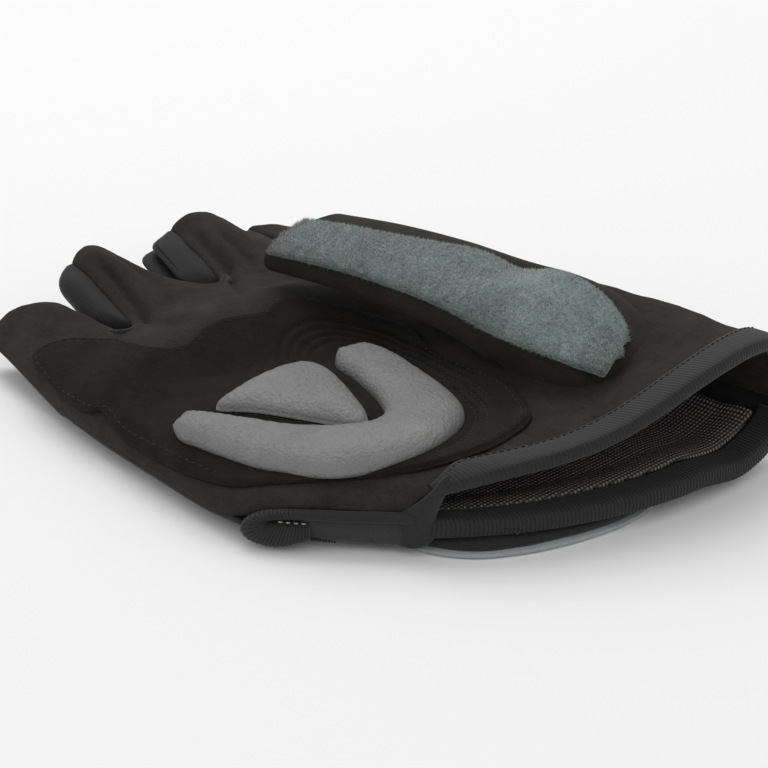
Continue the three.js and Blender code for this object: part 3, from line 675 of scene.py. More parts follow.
# The thumb
# The thumb stall is a tube of the same suede, sewn into the palm over the ball of the thumb.
# It is empty, so it lies flat across the palm, and its open end points to the fingers.
# The stall's rings: their centres, half sizes, tilt and roll in degrees, and how round they are
THUMB = {
    "k": [0, 1, 2, 3, 4, 5, 6, 7],
    "x": [24.0, 23.8, 23.8, 23.4, 22.4, 20.7, 17.8, 14.2],
    "y": [-37.5, -37.0, -31.5, -24.0, -13.5, -1.0, 13.0, 28.5],
    "z": [12.0, 17.8, 20.4, 21.7, 22.2, 22.8, 23.2, 22.8],
    "wide": [9.8, 12.0, 13.2, 13.0, 12.2, 11.8, 11.2, 10.8],
    "high": [13.2, 14.8, 11.4, 7.8, 5.9, 5.2, 4.9, 4.8],
    "tilt": [84, 75, 56, 32, 12, 3, 2, 14],
    "roll": [8, 8, 9, 9, 7, 8, 8, 7],
    "square": [0.55, 0.52, 0.62, 0.75, 0.8, 0.8, 0.8, 0.8],
}


def thumb_point(k, degrees):
    """Points of the thumb's skin at k along its rings and an angle round them."""
    row = {key: smooth(THUMB["k"], THUMB[key], k) for key in THUMB if key != "k"}
    angle, tilt, roll = (np.radians(v) for v in (degrees, row["tilt"], row["roll"]))
    a = -row["wide"] * np.sign(np.cos(angle)) * np.abs(np.cos(angle)) ** row["square"]
    b = row["high"] * np.sign(np.sin(angle)) * np.abs(np.sin(angle)) ** row["square"]
    # The empty stall has sunk in on its far side, near the palm.
    b -= 3.0 * bell((k - 3.55) / 0.5) * bell((degrees - 104) / 26)
    side = a * np.cos(roll) - b * np.sin(roll)
    rise = a * np.sin(roll) + b * np.cos(roll)
    return np.stack([row["x"] + side, row["y"] - rise * np.sin(tilt), row["z"] + rise * np.cos(tilt)], 1)


def palm_height(x, y):
    return hand_point(x, hand_share(x, y), "palm")[:, 2]


def even_angle(turn):
    """An angle that moves evenly round the squared rings, from a share of the turn."""
    return turn * 360 + 9 * np.sin(4 * np.pi * turn)


def thumb_shell():
    def at(turn, k):
        return thumb_point(k, even_angle(turn % 1.0))

    points, faces = joined([grid(np.linspace(0, 1, 97), np.linspace(0, 7, 85), at)])
    depth = points[:, 2] - palm_height(points[:, 0], points[:, 1])
    inside = (depth < -0.7) & (points[:, 1] < 36)
    faces = faces[~inside[faces].all(1)]
    used, to = np.unique(faces, return_inverse=True)
    points, faces = points[used], to.reshape(faces.shape)
    out = normals_of(points, faces)
    top = out[np.argmax(points[:, 2])]
    low, high = (-SUEDE, 0) if top[2] > 0 else (0, SUEDE)
    made = piece("thumb_stall", *wall(points, faces, low, high), THUMB_SUEDE)
    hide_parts("thumb_shell")


thumb_shell()


# The wipe
# A panel of grey-green terry is let into the thumb from its near edge over the top, to wipe
# the face with. Its pile stands up, and its end at the thumb's tip is folded under.
# The panel's edges as angles round the thumb's rings
WIPE = {
    "k": [1.15, 1.5, 2.2, 3.2, 4.0, 5.0, 6.96],
    "near": [52, 33, 20, 20, 22, 24, 19],
    "far": [87, 94, 105, 113, 108, 95, 85],
}
FLEECE = 1.7
HEM_Y, HEM_FADE = 22.6, 1.6
FIBRES = 26000
FIBRE_RADIUS = 0.075


def terry(name, dark, light):
    made = Finish(name, Roughness=1.0, Sheen_Weight=0.2, Sheen_Roughness=0.5, Specular_IOR_Level=0.05)
    tuft = made.noise(0.55, 4, 0.75)
    clump = made.noise(1.6, 3, 0.6, warp=0.8)
    patches = made.noise(14, 2, 0.5)
    tone = (tuft - 0.5) * 1.7 + (clump - 0.5) * 1.0 + (patches - 0.5) * 0.7 + 0.5
    cloth = made.mix(dark, light, tone)
    made.give(
        Base_Color=made.mix(cloth, colour(142, 138, 140), made.mark("hem") * 0.8),
        Normal=made.bump(tuft * 0.8 + clump * 0.8, 0.5, 0.8),
    )
    return made


TERRY = terry("terry", colour(78, 91, 90), colour(140, 153, 150))
TERRY_PILE = terry("terry_pile", colour(110, 124, 122), colour(206, 217, 213))


def wipe_point(v, u):
    """Points of the suede under the wipe: v across it, and u from the palm to the tip."""
    k = WIPE["k"][0] + (WIPE["k"][-1] - WIPE["k"][0]) * u
    near, far = smooth(WIPE["k"], WIPE["near"], k), smooth(WIPE["k"], WIPE["far"], k)
    p = thumb_point(k, near + (far - near) * v)
    # Its near corner runs down onto the palm.
    p[:, 1] -= 6.2 * ease((0.2 - u) / 0.2) * np.clip(1 - v, 0, 1) ** 0.7
    on_palm = np.maximum(p[:, 2], palm_height(p[:, 0], p[:, 1]) + 0.15)
    p[:, 2] = np.where(u < 0.25, on_palm, p[:, 2])
    return p


def wipe_height(v, u):
    """How far the fleece stands off the suede. It thins out to its sewn edges."""
    inboard = np.minimum(np.minimum(v, 1 - v) * 22, np.minimum(u, 1 - u) * 74)
    return 0.55 + FLEECE * np.sqrt(1 - (1 - np.clip(inboard / 2.6, 0, 1)) ** 2)


def mark(made, name, values):
    """Gives each of a mesh's points a value that its material reads."""
    made.data.attributes.new(name, "FLOAT", "POINT").data.foreach_set("value", values)


def mark_hem(made):
    """Marks the folded end at the thumb's tip."""
    at = np.empty(3 * len(made.data.vertices))
    made.data.vertices.foreach_get("co", at)
    mark(made, "hem", ease((at[1::3] / MM - TO_FRAME[1] - HEM_Y) / HEM_FADE))


def repeated(faces, size, count):
    """The faces of a small mesh of so many points, for that many copies of it in a row."""
    return (faces[None] + size * np.arange(count)[:, None, None]).reshape(-1, 4)


def wipe_pile(count):
    """The pile: short closed fibres that stand on the fleece and lean about."""
    pick = np.random.default_rng(5)
    v, u = (1 - np.cos(np.pi * pick.random(count))) / 2, pick.random(count) * 0.996 + 0.002
    step = 0.004
    root = wipe_point(v, u)
    up = unit(np.cross(wipe_point(v + step, u) - root, wipe_point(v, u + step) - root))
    up *= np.sign(up[:, 2].mean())
    lean = pick.normal(size=(count, 3)) * 0.38 + (0, 0.2, 0)
    along = unit(up + lean)
    side = unit(np.cross(along, pick.normal(size=(count, 3))))
    third = np.cross(along, side)
    root = root + up * (wipe_height(v, u) - 0.2)[:, None]
    length = 0.55 + 0.6 * pick.random(count)
    corners = [side, -0.5 * side + 0.87 * third, -0.5 * side - 0.87 * third]
    base = [root + corner * FIBRE_RADIUS for corner in corners]
    points = np.stack([*base, root + along * length[:, None]], 1)
    faces = np.array([[0, 1, 3, 3], [1, 2, 3, 3], [2, 0, 3, 3], [0, 2, 1, 1]])
    points = points.reshape(-1, 3)
    return points, turned_out(points, repeated(faces, 4, count))


def thumb_wipe():
    columns, rows = np.linspace(0, 1, 81), np.linspace(0, 1, 161)
    points, faces = facing(*grid(columns, rows, wipe_point), 2, 1)
    v, u = (g.ravel() for g in np.meshgrid(columns, rows, indexing="ij"))
    high = wipe_height(v, u) + softness(points) * 0.3
    made = piece("terry_wipe", *wall(points, faces, 0.05, high), TERRY)
    pile = piece("terry_pile", *wipe_pile(FIBRES), TERRY_PILE)
    for part in (made, pile):
        mark_hem(part)
    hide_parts("thumb_wipe")


thumb_wipe()


# The palm patch
# A second layer of grainier suede is sewn over the heel and the ridge below the fingers. Its
# edge is cut in shallow scallops, and it carries the pads.
PATCH = 1.1
PATCH_CENTRE = (-29.5, -10)
PATCH_OUTLINE = [
    (0.9, -47.3), (4.5, -43.2), (8.7, -35.1), (11.2, -24.0), (12.5, -14), (15.5, -5), (18.5, 2), (17, 9),
    (12, 15.5), (5.2, 20.0), (-1, 20.7), (-5.9, 19.3), (-13.3, 20.9), (-18.2, 21.0), (-23.2, 19.4),
    (-28.2, 20.8), (-31.2, 26.6), (-31.2, 33.5), (-34.4, 40.1), (-36.9, 43), (-40.3, 44.8), (-42.8, 44.0),
    (-44.2, 38.9), (-45.4, 29.6), (-46.2, 21), (-45.6, 17.2), (-46.8, 11.3), (-47.3, 6), (-47.7, -3.2),
    (-47.8, -11.6), (-47.3, -18.4), (-45.9, -23.6), (-43.2, -28), (-38.6, -33.8), (-34, -38.8),
    (-28.9, -43.6), (-21.4, -48.3), (-13.1, -50.2), (-5, -49.2),
]


def run_along(line):
    """How far each point of a line is from its start, along the line."""
    return np.concatenate([[0], np.cumsum(np.linalg.norm(np.diff(line, axis=0), axis=1))])


def loop(table, count):
    """Points spaced evenly along a smooth closed curve through a table's points."""
    table = np.asarray(table, float)
    keys = np.arange(-3, len(table) + 4)
    wrapped = table[keys % len(table)]
    fine = np.linspace(0, len(table), 40 * len(table) + 1)
    line = np.stack([smooth(keys, column, fine) for column in wrapped.T], 1)
    run = run_along(line)
    at = np.linspace(0, run[-1], count + 1)[:-1]
    return np.stack([np.interp(at, run, column) for column in line.T], 1)


def palm_frame(x, y):
    """Points on the palm over places in plan, and the palm's normals there."""
    d = 0.4
    slope_x = (palm_height(x + d, y) - palm_height(x - d, y)) / (2 * d)
    slope_y = (palm_height(x, y + d) - palm_height(x, y - d)) / (2 * d)
    up = unit(np.stack([-slope_x, -slope_y, np.ones_like(x)], 1))
    return np.stack([x, y, palm_height(x, y)], 1), up


def disc(outline, centre, shares):
    """Rings that shrink from an outline to a point, as places in plan and faces."""
    count = len(outline)
    rings = [np.asarray(centre) + (outline - centre) * r for r in shares]
    plan = np.concatenate(rings)
    n = np.arange(count)
    faces = []
    for k in range(len(shares) - 1):
        a, b = k * count, (k + 1) * count
        faces.append(np.stack([a + n, b + n, b + (n + 1) % count, a + (n + 1) % count], 1))
    return plan, np.concatenate(faces)


def overlay(outline, centre, rings, height, wrinkled=False):
    """A closed piece on the palm. height(share, plan) gives its underside and its top."""
    shares = np.linspace(1, 0, rings)
    plan, faces = disc(outline, centre, shares)
    on, up = palm_frame(plan[:, 0], plan[:, 1])
    share = np.repeat(shares, len(outline))
    low, high = height(share, plan)
    count = len(plan)
    top = on + up * high[:, None]
    if wrinkled:
        top = creased(top, up, ease((1 - share) * 7))
    points = np.concatenate([top, on + up * low[:, None]])
    n = np.arange(len(outline))
    after = (n + 1) % len(outline)
    side = np.stack([n, after, after + count, n + count], 1)[:, ::-1]
    return joined([(points, np.concatenate([faces, faces[:, ::-1] + count, side]))])


PATCH_SUEDE = suede("patch_suede", colour(12, 11, 10), colour(40, 38, 35), nap=1.8)
# The line that the outer pad follows, and half its width there
OUTER_PAD = {
    "x": [-42.2, -40.6, -38.6, -35.6, -30.2, -23.0, -15.8, -9.8, -6.0, -3.6, -1.6, -0.2],
    "y": [-1.6, -7.5, -15.5, -25.0, -32.8, -36.8, -35.8, -31.2, -23.5, -15.0, -7.0, 0.6],
    "half": [2.6, 3.3, 4.6, 6.0, 6.9, 6.9, 7.0, 7.0, 6.4, 5.8, 5.4, 4.6],
}
# Quilted lines round the outer pad: how far outside its edge, and from where they start
QUILTING = [(2.2, 4.6), (4.3, 5.6), (6.4, 6.6), (8.5, 7.6)]
QUILT_DEPTH = 0.42
QUILT_WIDE = 0.6


def quilted(plan):
    """How deep the quilting has pulled the patch in."""
    keys = np.arange(len(OUTER_PAD["x"]))
    away, share = from_line(*plan.T, np.stack([OUTER_PAD["x"], OUTER_PAD["y"]], 1))
    at = share * keys[-1]
    off = away - smooth(keys, OUTER_PAD["half"], at)
    deep = np.zeros(len(plan))
    for line, first in QUILTING:
        deep += QUILT_DEPTH * bell((off - line) / QUILT_WIDE) * ease((at - first) / 1.2)
    return deep


def palm_patch():
    outline = loop(PATCH_OUTLINE, 400)

    def height(share, plan):
        inboard = (1 - share) * np.linalg.norm(plan - PATCH_CENTRE, axis=1) / np.maximum(share, 0.05)
        top = PATCH * np.sqrt(1 - (1 - np.clip(inboard / 0.9, 0, 1)) ** 2) + 0.02
        return np.full_like(share, -0.1), top + 0.3 - quilted(plan)

    points, faces = overlay(outline, PATCH_CENTRE, 116, height)
    made = piece("suede_patch", points, faces, PATCH_SUEDE)
    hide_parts("palm_patch")


palm_patch()


# The gel pads
# Two soft gel pads under thin grey leather protect the heel of the hand: a hooked one round
# the outside and a three-cornered one within it. The leather is creased all over.
PAD_HEIGHT = 3.6
PAD_BASE = 1.3
# How high the leather's edge stands, and how far the pads sink into the patch
PAD_RIM = 0.5
PAD_SINK = 0.2
# How deep the leather's small cells and its longer creases are
CELL_DEPTH = 0.08
CREASE_DEPTH = 0.13
INNER_PAD = [
    (-35.0, -3.6), (-29.5, -1.6), (-21.0, 0.2), (-14.0, 1.0), (-10.8, -0.8), (-10.8, -5.5), (-13.2, -12.5),
    (-15.8, -19.0), (-18.6, -25.5), (-21.0, -28.0), (-24.0, -26.6), (-27.4, -19.0), (-31.4, -10.2),
]


def pad_leather():
    made = Finish("pad_leather", Roughness=0.5, Specular_IOR_Level=0.4)
    cells = {"Vector": made.spot(), "Scale": 1000 / 0.55}
    pebble = made.node("TexVoronoi", {"feature": "SMOOTH_F1"}, cells)
    fine = made.noise(0.4, 3, 0.6)
    patches = made.noise(7, 3, 0.5)
    tone = (patches - 0.5) * 0.6 + (fine - 0.5) * 0.5 + 0.5
    made.give(
        Base_Color=made.mix(colour(92, 92, 92), colour(134, 134, 133), tone),
        Roughness=(fine * 0.25 + 0.3).clamped(),
        Normal=made.bump(fine * 0.6 + pebble * 0.7, 0.3, 0.9),
    )
    return made


PAD_LEATHER = pad_leather()


def creased(points, normals, amount):
    """Leather creases pressed into the points' tops."""
    depth = []
    for p in points:
        at = Vector(p)
        near = noise.voronoi(at * 0.95)[0]
        cell = min(1.0, (near[1] - near[0]) * 2.2)
        fold = abs(noise.noise(at * 0.55))
        depth.append(CELL_DEPTH * (cell - 1) - CREASE_DEPTH * max(0.0, 0.25 - fold) * 4)
    return points + normals * (np.array(depth) * amount)[:, None]


def pad_line(at):
    """The outer pad's middle line, the way out to its side and half its width."""
    keys = np.arange(len(OUTER_PAD["x"]))
    x, y, half = (smooth(keys, column, at) for column in OUTER_PAD.values())
    line = np.stack([x, y], 1)
    ahead = unit(np.gradient(line, axis=0))
    return line, np.stack([ahead[:, 1], -ahead[:, 0]], 1), half


def pad_top(rise):
    return PAD_BASE + PAD_RIM + (PAD_HEIGHT - PAD_RIM) * rise


def outer_pad():
    """The outer pad's grid of places in plan, and how far each one rises."""
    s = np.linspace(0, 1, 301)
    f = 0.4 * (1 - np.cos(np.pi * s)) / 2 + 0.6 * s
    last = len(OUTER_PAD["x"]) - 1
    line, side, half = pad_line(f * last)
    end = np.clip(np.minimum(f, 1 - f) * last / 0.9, 0, 1)
    half = half * np.sqrt(1 - (1 - end) ** 2) + 0.25
    r = np.sin(np.linspace(-np.pi / 2, np.pi / 2, 57))
    plan = line[:, None] + side[:, None] * (half[:, None] * r)[:, :, None]
    edge = np.maximum(np.abs(r)[None], 1 - end[:, None])
    rise = (1 - edge ** 3) ** 0.5
    return plan, rise


def pad_mesh(plan, rise):
    """A closed pad from a grid of places in plan and how far each one rises."""
    on, up = palm_frame(*plan.reshape(-1, 2).T)
    high = on + up * pad_top(rise.ravel())[:, None]
    high = creased(high, up, np.clip(rise.ravel() * 2, 0, 1))
    low = on + up * (PAD_BASE - PAD_SINK)
    count = rise.size
    index = np.arange(count).reshape(rise.shape)
    a, b, c, d = index[:-1, :-1], index[1:, :-1], index[1:, 1:], index[:-1, 1:]
    faces = np.stack([a, b, c, d], -1).reshape(-1, 4)
    rim = np.concatenate([index[:, 0], index[-1, 1:], index[-2::-1, -1], index[0, -2:0:-1]])
    after = np.roll(rim, -1)
    sides = np.stack([rim, after, after + count, rim + count], 1)
    return np.concatenate([high, low]), np.concatenate([faces, faces[:, ::-1] + count, sides[:, ::-1]])


def pads():
    points, faces = pad_mesh(*outer_pad())
    made = piece("gel_pad_outer", points, turned_out(points, faces), PAD_LEATHER)
    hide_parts("heel_pad_outer")

    outline = loop(INNER_PAD, 280)

    def height(share, plan):
        return np.full_like(share, PAD_BASE - PAD_SINK), pad_top(np.sqrt(1 - share ** 4))

    points, faces = overlay(outline, outline.mean(0), 56, height, wrinkled=True)
    made = piece("gel_pad_inner", points, turned_out(points, faces), PAD_LEATHER)
    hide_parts("heel_pad_inner")


pads()


# The cuff's binding
# Black ribbed elastic tape is folded over the raw edge of the palm and of the back, and
# sewn through both layers along its edge.
BINDING = 1.1
PALM_BINDING = 0.8
GAP = 0.3
# Each tape's width outside and inside the glove, and where it starts and ends across the hand
PALM_TAPE = 6.4, 3
BACK_TAPE = 5, 4.4
PALM_ENDS = 3 / 7, 4 - 1 / 7
BACK_ENDS = 2 / 6, 4 - 1 / 6
RIB_PITCH = 0.75


def elastic():
    made = Finish("elastic_tape", Roughness=0.75, Sheen_Weight=0.12, Specular_IOR_Level=0.25)
    dust = made.noise(0.5, 3, 0.6)
    # The tape's colour follows its ribs: darker in the grooves between them, a painted shade, and lighter
    # on their crests.
    tone = made.mark("rib_and_shade") * 0.55 + (dust - 0.5) * 0.8 + 0.2
    made.give(
        Base_Color=made.mix(colour(14, 14, 14), colour(46, 46, 46), tone),
        Normal=made.bump(dust, 0.08, 0.5),
    )
    return made


ELASTIC = elastic()


def lofted(rings):
    """A solid through closed rings of points, with its ends filled."""
    count, sides = rings.shape[:2]
    points = rings.reshape(-1, 3)
    k, s = (g.ravel() for g in np.meshgrid(range(count - 1), range(sides), indexing="ij"))
    after = (s + 1) % sides
    near, far = k * sides, (k + 1) * sides
    faces = np.stack([far + s, far + after, near + after, near + s], 1)
    n = np.arange(1, sides - 1)
    cap = np.stack([n + 1, n + 1, n, 0 * n], 1)
    faces = np.concatenate([faces, cap, cap[:, ::-1] + (count - 1) * sides])
    return points, turned_out(points, faces)


def rounded(ring):
    """A closed ring with its corners cut twice."""
    for _ in range(2):
        after = np.roll(ring, -1, axis=1)
        ring = np.stack([ring * 0.75 + after * 0.25, ring * 0.25 + after * 0.75], 2)
        ring = ring.reshape(ring.shape[0], -1, 3)
    return ring


def tape_share(x):
    """How wide the cuff's tape is at x: it narrows to the corner at the pinky side."""
    return 0.12 + 0.88 * ease((x - x[0] + 1) / 9)


def cuff_rings(side, x, full, narrow):
    """Rings of the folded tape at each x along the cuff."""
    thick, tape = (SUEDE_EDGE, PALM_BINDING) if side == "palm" else (STRETCH, BINDING)
    clear, rim = 0.12, 0.25
    wide = full * tape_share(x)
    zero = np.zeros_like(x)
    past = unit(inboard_point(x, zero, side) - inboard_point(x, zero + narrow, side))
    sideways = inboard_point(x + 0.3, zero, side) - inboard_point(x - 0.3, zero, side)
    up = unit(np.cross(sideways, -past))
    if side == "back":
        up = -up
    top, low = clear + tape, -thick - clear - tape

    def spot(inboard, rise, beyond=0.0):
        return inboard_point(x, zero + inboard, side) + up * rise + past * beyond

    # From the tape's outer edge round the fold to its inner edge, and back along the cloth
    ring = [
        (wide, top * 0.85), (wide * 0.8, top), (wide / 2, top * 1.1), (0, top, rim + tape * 0.5),
        (0, clear, rim + tape), (0, -thick, rim + tape), (0, low, rim + tape * 0.5),
        (narrow / 2, low), (narrow, low), (narrow, -thick - clear),
        (0, -thick - clear, rim * 0.3), (0, clear, rim * 0.3), (wide / 2, clear), (wide, clear),
    ]
    return rounded(np.stack([spot(*corner) for corner in ring], 1))


def ribbed(name, rings, pitch, depth, share):
    """A tape of ribs across its length, whose grooves its material darkens with painted shade. share is
    how clear the ribs are in its shape and in that painted shade.
    """
    run = run_along(rings.mean(1))
    points, faces = lofted(rings)
    # Each ring's rib height shapes the ribs and also paints shade into their grooves.
    rib_and_shade = np.repeat(0.5 + 0.5 * share * np.cos(2 * np.pi * run / pitch), rings.shape[1])
    normals = normals_of(points, faces)
    made = piece(name, points + normals * ((rib_and_shade - 0.5) * depth)[:, None], faces, ELASTIC)
    mark(made, "rib_and_shade", rib_and_shade)
    return made


def along_cuff(ends, count):
    """Places along the cuff, between two fractions across the hand."""
    return np.linspace(column_x(ends[0], 0.0), column_x(ends[1], 0.0), count)


def cuff_bindings():
    rings = cuff_rings("palm", along_cuff(PALM_ENDS, 640), *PALM_TAPE)
    palm = ribbed("elastic_palm_edge", rings, RIB_PITCH, 0.16, 0.4)
    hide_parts("palm_cuff_binding")
    rings = cuff_rings("back", along_cuff(BACK_ENDS, 640), *BACK_TAPE)
    back = ribbed("elastic_back_edge", rings, RIB_PITCH, 0.2, 0.75)
    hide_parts("back_cuff_binding")


cuff_bindings()


# The closure
# A strap of hook and loop tape lies folded under the back of the wrist, and its smooth root
# closes the slit at the pinky side. Only the strap's grey edge shows from above.
STRAP = 1.2
STRAP_COVER = 0.8
STRAP_CENTRE = (-6, -52)
STRAP_OUTLINE = [
    (-27.4, -40.5), (-28.2, -46.5), (-26.2, -52.4), (-22, -57.6), (-15.9, -61.4), (-10.2, -63.8),
    (-3, -65.8), (5.4, -66.9), (12.5, -66), (17.2, -61.5), (18.4, -54), (16, -46.5), (9, -42.5),
    (-4, -40), (-16, -38.6),
]


def strap_cloth(name, base, light, shine):
    made = Finish(name, Roughness=0.8, Sheen_Weight=0.2, Specular_IOR_Level=shine)
    weave = made.noise(0.45, 4, 0.7)
    patches = made.noise(6, 3, 0.5)
    tone = (weave - 0.5) * 1.6 + (patches - 0.5) * 0.6 + 0.5
    made.give(
        Base_Color=made.mix(base, light, tone),
        Normal=made.bump(weave, 0.15, 0.7),
    )
    return made


STRAP_BLACK = strap_cloth("strap_black", colour(20, 20, 21), colour(42, 42, 43), 0.2)
STRAP_GREY = strap_cloth("strap_grey", colour(132, 135, 136), colour(166, 169, 170), 0.3)
STRAP_SMOOTH = strap_cloth("strap_smooth", colour(30, 30, 31), colour(54, 54, 55), 0.3)


def strap_plate(name, low, high, inset, finish, node, slot):
    """A flat layer of the strap with a round edge. Each level lies a little further in."""
    outline = loop(STRAP_OUTLINE, 360)
    inward = unit(STRAP_CENTRE - outline)
    middle = (low + high) / 2
    edge = [(low, 0.35), (low + 0.12, 0.1), (middle, 0), (high - 0.12, 0.1), (high, 0.35)]
    rings = []
    for z, extra in [(low, 4), *edge, (high, 4)]:
        p = outline + inward * (inset + extra)
        rings.append(np.column_stack([p, np.full(len(p), z)]))
    made = piece(name, *lofted(np.array(rings)), finish)
    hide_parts(node)


TAB = STRAP_COVER + 0.05, STRAP_COVER + GAP + STRAP
strap_plate("closure_tab", *TAB, 1.2, STRAP_BLACK, "closure_strap", "strap_black")
strap_plate("closure_cover", 0.0, STRAP_COVER, 0, STRAP_GREY, "strap_cover", "strap_grey")


# How far the slit is followed: up the hand, and past the cuff
SLIT_END = 0.24
PAST_CUFF = 4


def slit_place(run, z, out):
    """Points beside the slit, by the way along it from the cuff, the height and how far out."""
    t = np.linspace(0, SLIT_END, 161)
    line = hand_point(hand("ulnar", t), t, "palm")[:, :2]
    way = np.concatenate([[-PAST_CUFF], run_along(line)])
    line = np.concatenate([line[:1] + PAST_CUFF * unit(line[:1] - line[1:2]), line])
    ahead = unit(np.gradient(line, way, axis=0))
    x, y, ax, ay = (np.interp(run, way, column) for column in (*line.T, *ahead.T))
    return np.stack([x - ay * out, y + ax * out, np.broadcast_to(z, x.shape)], 1)


# The smooth root of the strap: its lower edge along the slit
ROOT = {"run": [-1, 5.3, 10.5, 15.2, 18], "low": [1.8, 1.7, 1.9, 2.4, 2.8]}
# The slit's tape, from the cuff along the palm's edge and back below
SLIT_TAPE = {
    "run": [-1, 5, 10.5, 15.2, 20, 23.5, 26, 28, 29.1, 29.1, 27.8, 25, 22, 19.3, 17],
    "z": [8.3, 8.1, 7.9, 7.9, 7.7, 7.3, 6.6, 5.4, 4.0, 2.6, 1.3, 0.55, 0.65, 1.4, 2.3],
    "inner_run": [-1, 5, 10.5, 15.2, 19.6, 22.2, 23.4, 24.0, 24.1, 24.0, 23.6, 22.4, 20.6, 18.9, 17.3],
    "inner_z": [6.4, 6.2, 6.0, 6.1, 6.0, 5.8, 5.65, 5.5, 5.35, 5.2, 5.2, 5.3, 5.45, 5.55, 5.6],
    "thick": [1.0, 1.0, 1.0, 1.0, 1.0, 1.1, 1.3, 1.5, 1.7, 1.9, 2.0, 2.1, 2.0, 1.7, 1.2],
}


def strap_root():
    def at(run, v):
        low = smooth(ROOT["run"], ROOT["low"], run)
        return slit_place(run, low + (6.7 - low) * v, 0.15 + 0.55 * np.sin(np.pi * v) ** 0.7)

    sheet = facing(*grid(np.linspace(-1, 18, 61), np.linspace(0, 1, 17), at), 0, -1)
    made = piece("strap_base", *wall(*sheet, -1.0, 0), STRAP_SMOOTH)
    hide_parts("strap_root")


def slit_tape():
    keys = np.arange(len(SLIT_TAPE["run"]))
    at = np.linspace(0, keys[-1], 420)
    outer, outer_z, inner, inner_z, thick = (smooth(keys, SLIT_TAPE[c], at) for c in SLIT_TAPE)

    def across(q, out):
        return slit_place(inner + (outer - inner) * q, inner_z + (outer_z - inner_z) * q, out)

    rings = []
    for q in np.linspace(0, 1, 15):
        swell = (1 - abs(2 * q - 1) ** 2.6) ** (1 / 2.6)
        rings.append(across(q, 0.3 + 0.15 + thick * swell))
    rings += [across(q, 0.2) for q in (1.0, 0.5, 0.0)]
    # How clear the ribs are along the tape, in shape and in the painted shade of their grooves.
    share = 0.08 + 0.92 * ease((outer - 17.5) / 4)
    share[at > 8] = 1
    made = ribbed("elastic_slit_end", np.stack(rings, 1), 0.62, 0.15, share)
    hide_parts("slit_binding")


def cuff_corner():
    """The cuff's tape turned down round the corner, where it meets the slit's tape."""
    def at(a, v):
        x = -30.6 + (6.2 - 1.8 * ease(v * 1.4)) * a
        top, low = 7.9 + 6.6 * a, 1.9 + 1.2 * a * a
        z = top + (low - top) * v
        out = 1.45 * np.sin(np.pi * np.clip(a, 0.02, 0.98)) ** 0.75 + 0.35 * np.sin(np.pi * v)
        return np.stack([x - 0.55 * out, cuff_y(x) - 0.83 * out, z], 1)

    sheet = facing(*grid(np.linspace(0, 1, 31), np.linspace(0, 1, 49), at), 1, -1)
    made = piece("elastic_corner", *wall(*sheet, -1.0, 0), ELASTIC)
    # One even rib value: the corner's tape gets no painted groove shade.
    mark(made, "rib_and_shade", [0.6] * len(made.data.vertices))


strap_root()
slit_tape()
cuff_corner()


# The stitches
# Black thread holds the patch, the quilting round the pads and the cuff's tape. A few pale
# stitches show where the slit's tape is folded.
# The black thread's radius
STITCH = 0.12
# Where the patch's stitching starts and ends, and how far inside its edge it runs
PATCH_SEAM = (-13.1, -50.2), (-47.3, -18.4)
SEAM_INSET = 1.5
# The heights of the pale stitches and of the bar tack beside the slit
PALE_Z = 5.72
TACK_Z = 2.5


def threads(name, rows, length, radius, finish):
    """Rows of stitches, each one a short closed thread. A row is points with their normals."""
    spots = []
    for points, ups, pitch in rows:
        run = run_along(points)
        at = np.arange(pitch / 2, run[-1], pitch)
        lines = points, ups, np.gradient(points, run, axis=0)
        middle, up, ahead = (np.stack([np.interp(at, run, c) for c in v.T], 1) for v in lines)
        spots.append(np.stack([middle, unit(up), unit(ahead)], 1))
    middle, up, ahead = np.concatenate(spots).transpose(1, 0, 2)
    side = np.cross(up, ahead)
    turn = 2 * np.pi * np.arange(6)[:, None] / 6
    around = side[:, None] * np.cos(turn) + up[:, None] * np.sin(turn)
    rings = []
    for s in (-1, -0.72, 0, 0.72, 1):
        wide = radius * np.sqrt(1.04 - s * s)
        centre = middle + ahead * (s * length / 2) + up * (radius * 0.9 * (1 - s * s) - radius * 0.3)
        rings.append(centre[:, None] + wide * around)
    points = np.stack(rings, 1)
    one, faces = lofted(points[0])
    faces = repeated(faces, len(one), len(points))
    made = piece(name, points.reshape(-1, 3), faces, finish)


def on_patch(plan):
    at, up = palm_frame(plan[:, 0], plan[:, 1])
    return at + up * (PATCH + 0.32), up


def round_pad(off, first, last):
    """Places in plan that run round the outer pad, a set distance outside its edge."""
    line, side, half = pad_line(np.linspace(first, last, 200))
    return line + side * (half + off)[:, None]


def beside_slit(run, z, out):
    """Points that far out from the slit, with the way out as their normals."""
    at = slit_place(run, z, out)
    return at, unit(at - slit_place(run, z, out - 0.5))


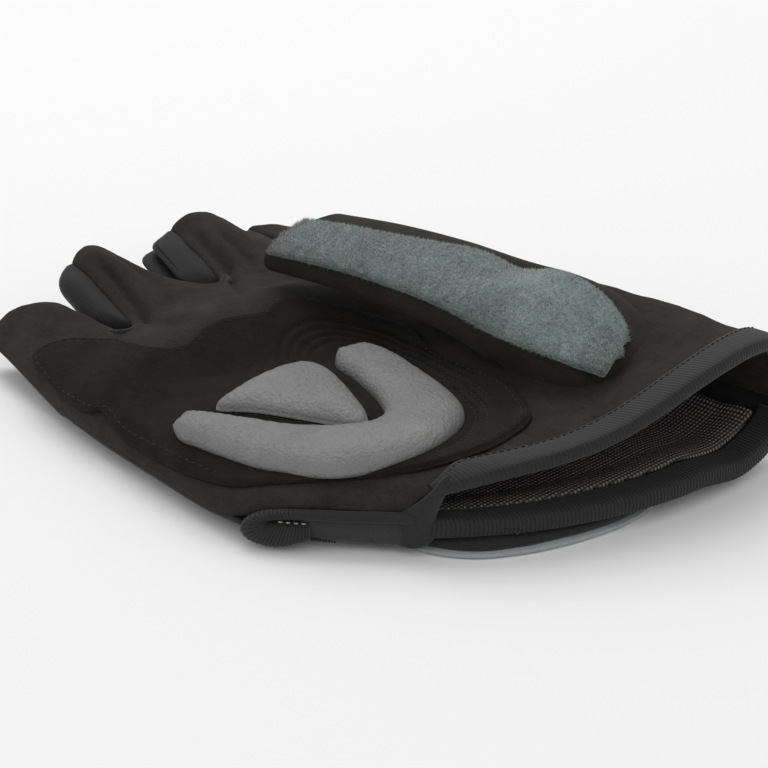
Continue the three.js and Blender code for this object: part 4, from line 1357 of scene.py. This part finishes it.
def stitches():
    black = strap_cloth("thread_black", colour(9, 9, 9), colour(28, 27, 26), 0.1)
    pale = strap_cloth("thread_pale", colour(120, 120, 116), colour(160, 160, 154), 0.3)
    outline = loop(PATCH_OUTLINE, 600)
    inside = outline + unit(PATCH_CENTRE - outline) * SEAM_INSET
    start = np.argmin(np.hypot(*(inside - PATCH_SEAM[0]).T))
    inside = np.roll(inside, -start, axis=0)
    last = np.argmin(np.hypot(*(inside - PATCH_SEAM[1]).T))
    rows = [(*on_patch(inside[:last]), 1.9)]
    for off, first in QUILTING[:3]:
        at, up = on_patch(round_pad(off, first + 0.6, 10.6))
        rows.append((at - up * 0.36, up, 1.5))
    threads("stitches_patch", rows, 1.05, STITCH, black)

    x = along_cuff(PALM_ENDS, 300)
    edge = inboard_point(x, PALM_TAPE[0] * tape_share(x) - 1.1, "palm")
    up = palm_frame(edge[:, 0], edge[:, 1])[1]
    threads("stitches_cuff", [(edge + up * 0.93, up, 1.3)], 0.95, STITCH, black)

    fold = beside_slit(np.linspace(22.6, 17.2, 40), PALE_Z, 1.5)
    threads("stitches_slit", [(*fold, 1.35)], 0.8, 0.15, pale)
    run = np.linspace(17, 12.4, 60)
    tack = beside_slit(run, TACK_Z - 0.06 * (17 - run), 1.0)
    threads("stitches_bartack", [(*tack, 0.5)], 0.42, 0.2, black)


stitches()


# The lining
# Inside the cuff the back is lined with an open black mesh, woven square, that lets the sweat out. Its
# threads are painted pale grey where they cross: painted highlights.
LINING = 0.8
WEAVE = 0.8


def mesh_cloth():
    made = Finish("mesh_lining", Roughness=0.6, Specular_IOR_Level=0.4)
    uv = made.node("UVMap", {"uv_map": "UVMap"}, {})
    waves = []
    for axis in (0, 1):
        turn = made.node("SeparateXYZ", {}, {0: uv}, axis) * (2 * np.pi)
        waves.append((turn.sum("SINE", 0.0) * 0.5 + 0.5).sum("POWER", 0.7))
    # Pale grey where the threads cross: painted highlights on the black mesh. The same pattern bumps the
    # weave.
    weave_and_highlight = waves[0] * waves[1]
    made.give(
        Base_Color=made.mix(colour(18, 17, 17), colour(156, 152, 148), weave_and_highlight),
        Normal=made.bump(weave_and_highlight, 0.3, 0.9),
    )
    return made


def lining():
    def at(u, t):
        return hand_point(column_x(u, t), t, "back")

    columns = np.linspace(5 / 6, 4 - 2 / 6, 121)
    sheet = facing(*grid(columns, np.linspace(0.055, 0.29, 61), at), 2, 1)
    points, faces = wall(*sheet, STRETCH + 0.05, STRETCH + GAP + LINING)
    made = piece("mesh_lining", points, faces, mesh_cloth(), points[:, :2] / WEAVE)
    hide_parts("back_lining")


lining()


# The table
# Plain white paper, a little brighter than it needs to be, so that it burns out evenly.
FLOOR = 6
PAPER = (0.88, 0.88, 0.88, 1)


def table():
    bpy.ops.object.select_all(action="DESELECT")
    bpy.ops.mesh.primitive_plane_add(size=FLOOR, location=(0, 0, 0))
    floor = bpy.context.object
    floor.name = "floor"
    paper = Finish("paper", Roughness=0.9, Base_Color=PAPER, Specular_IOR_Level=0.1)
    floor.data.materials.append(paper.material)


table()
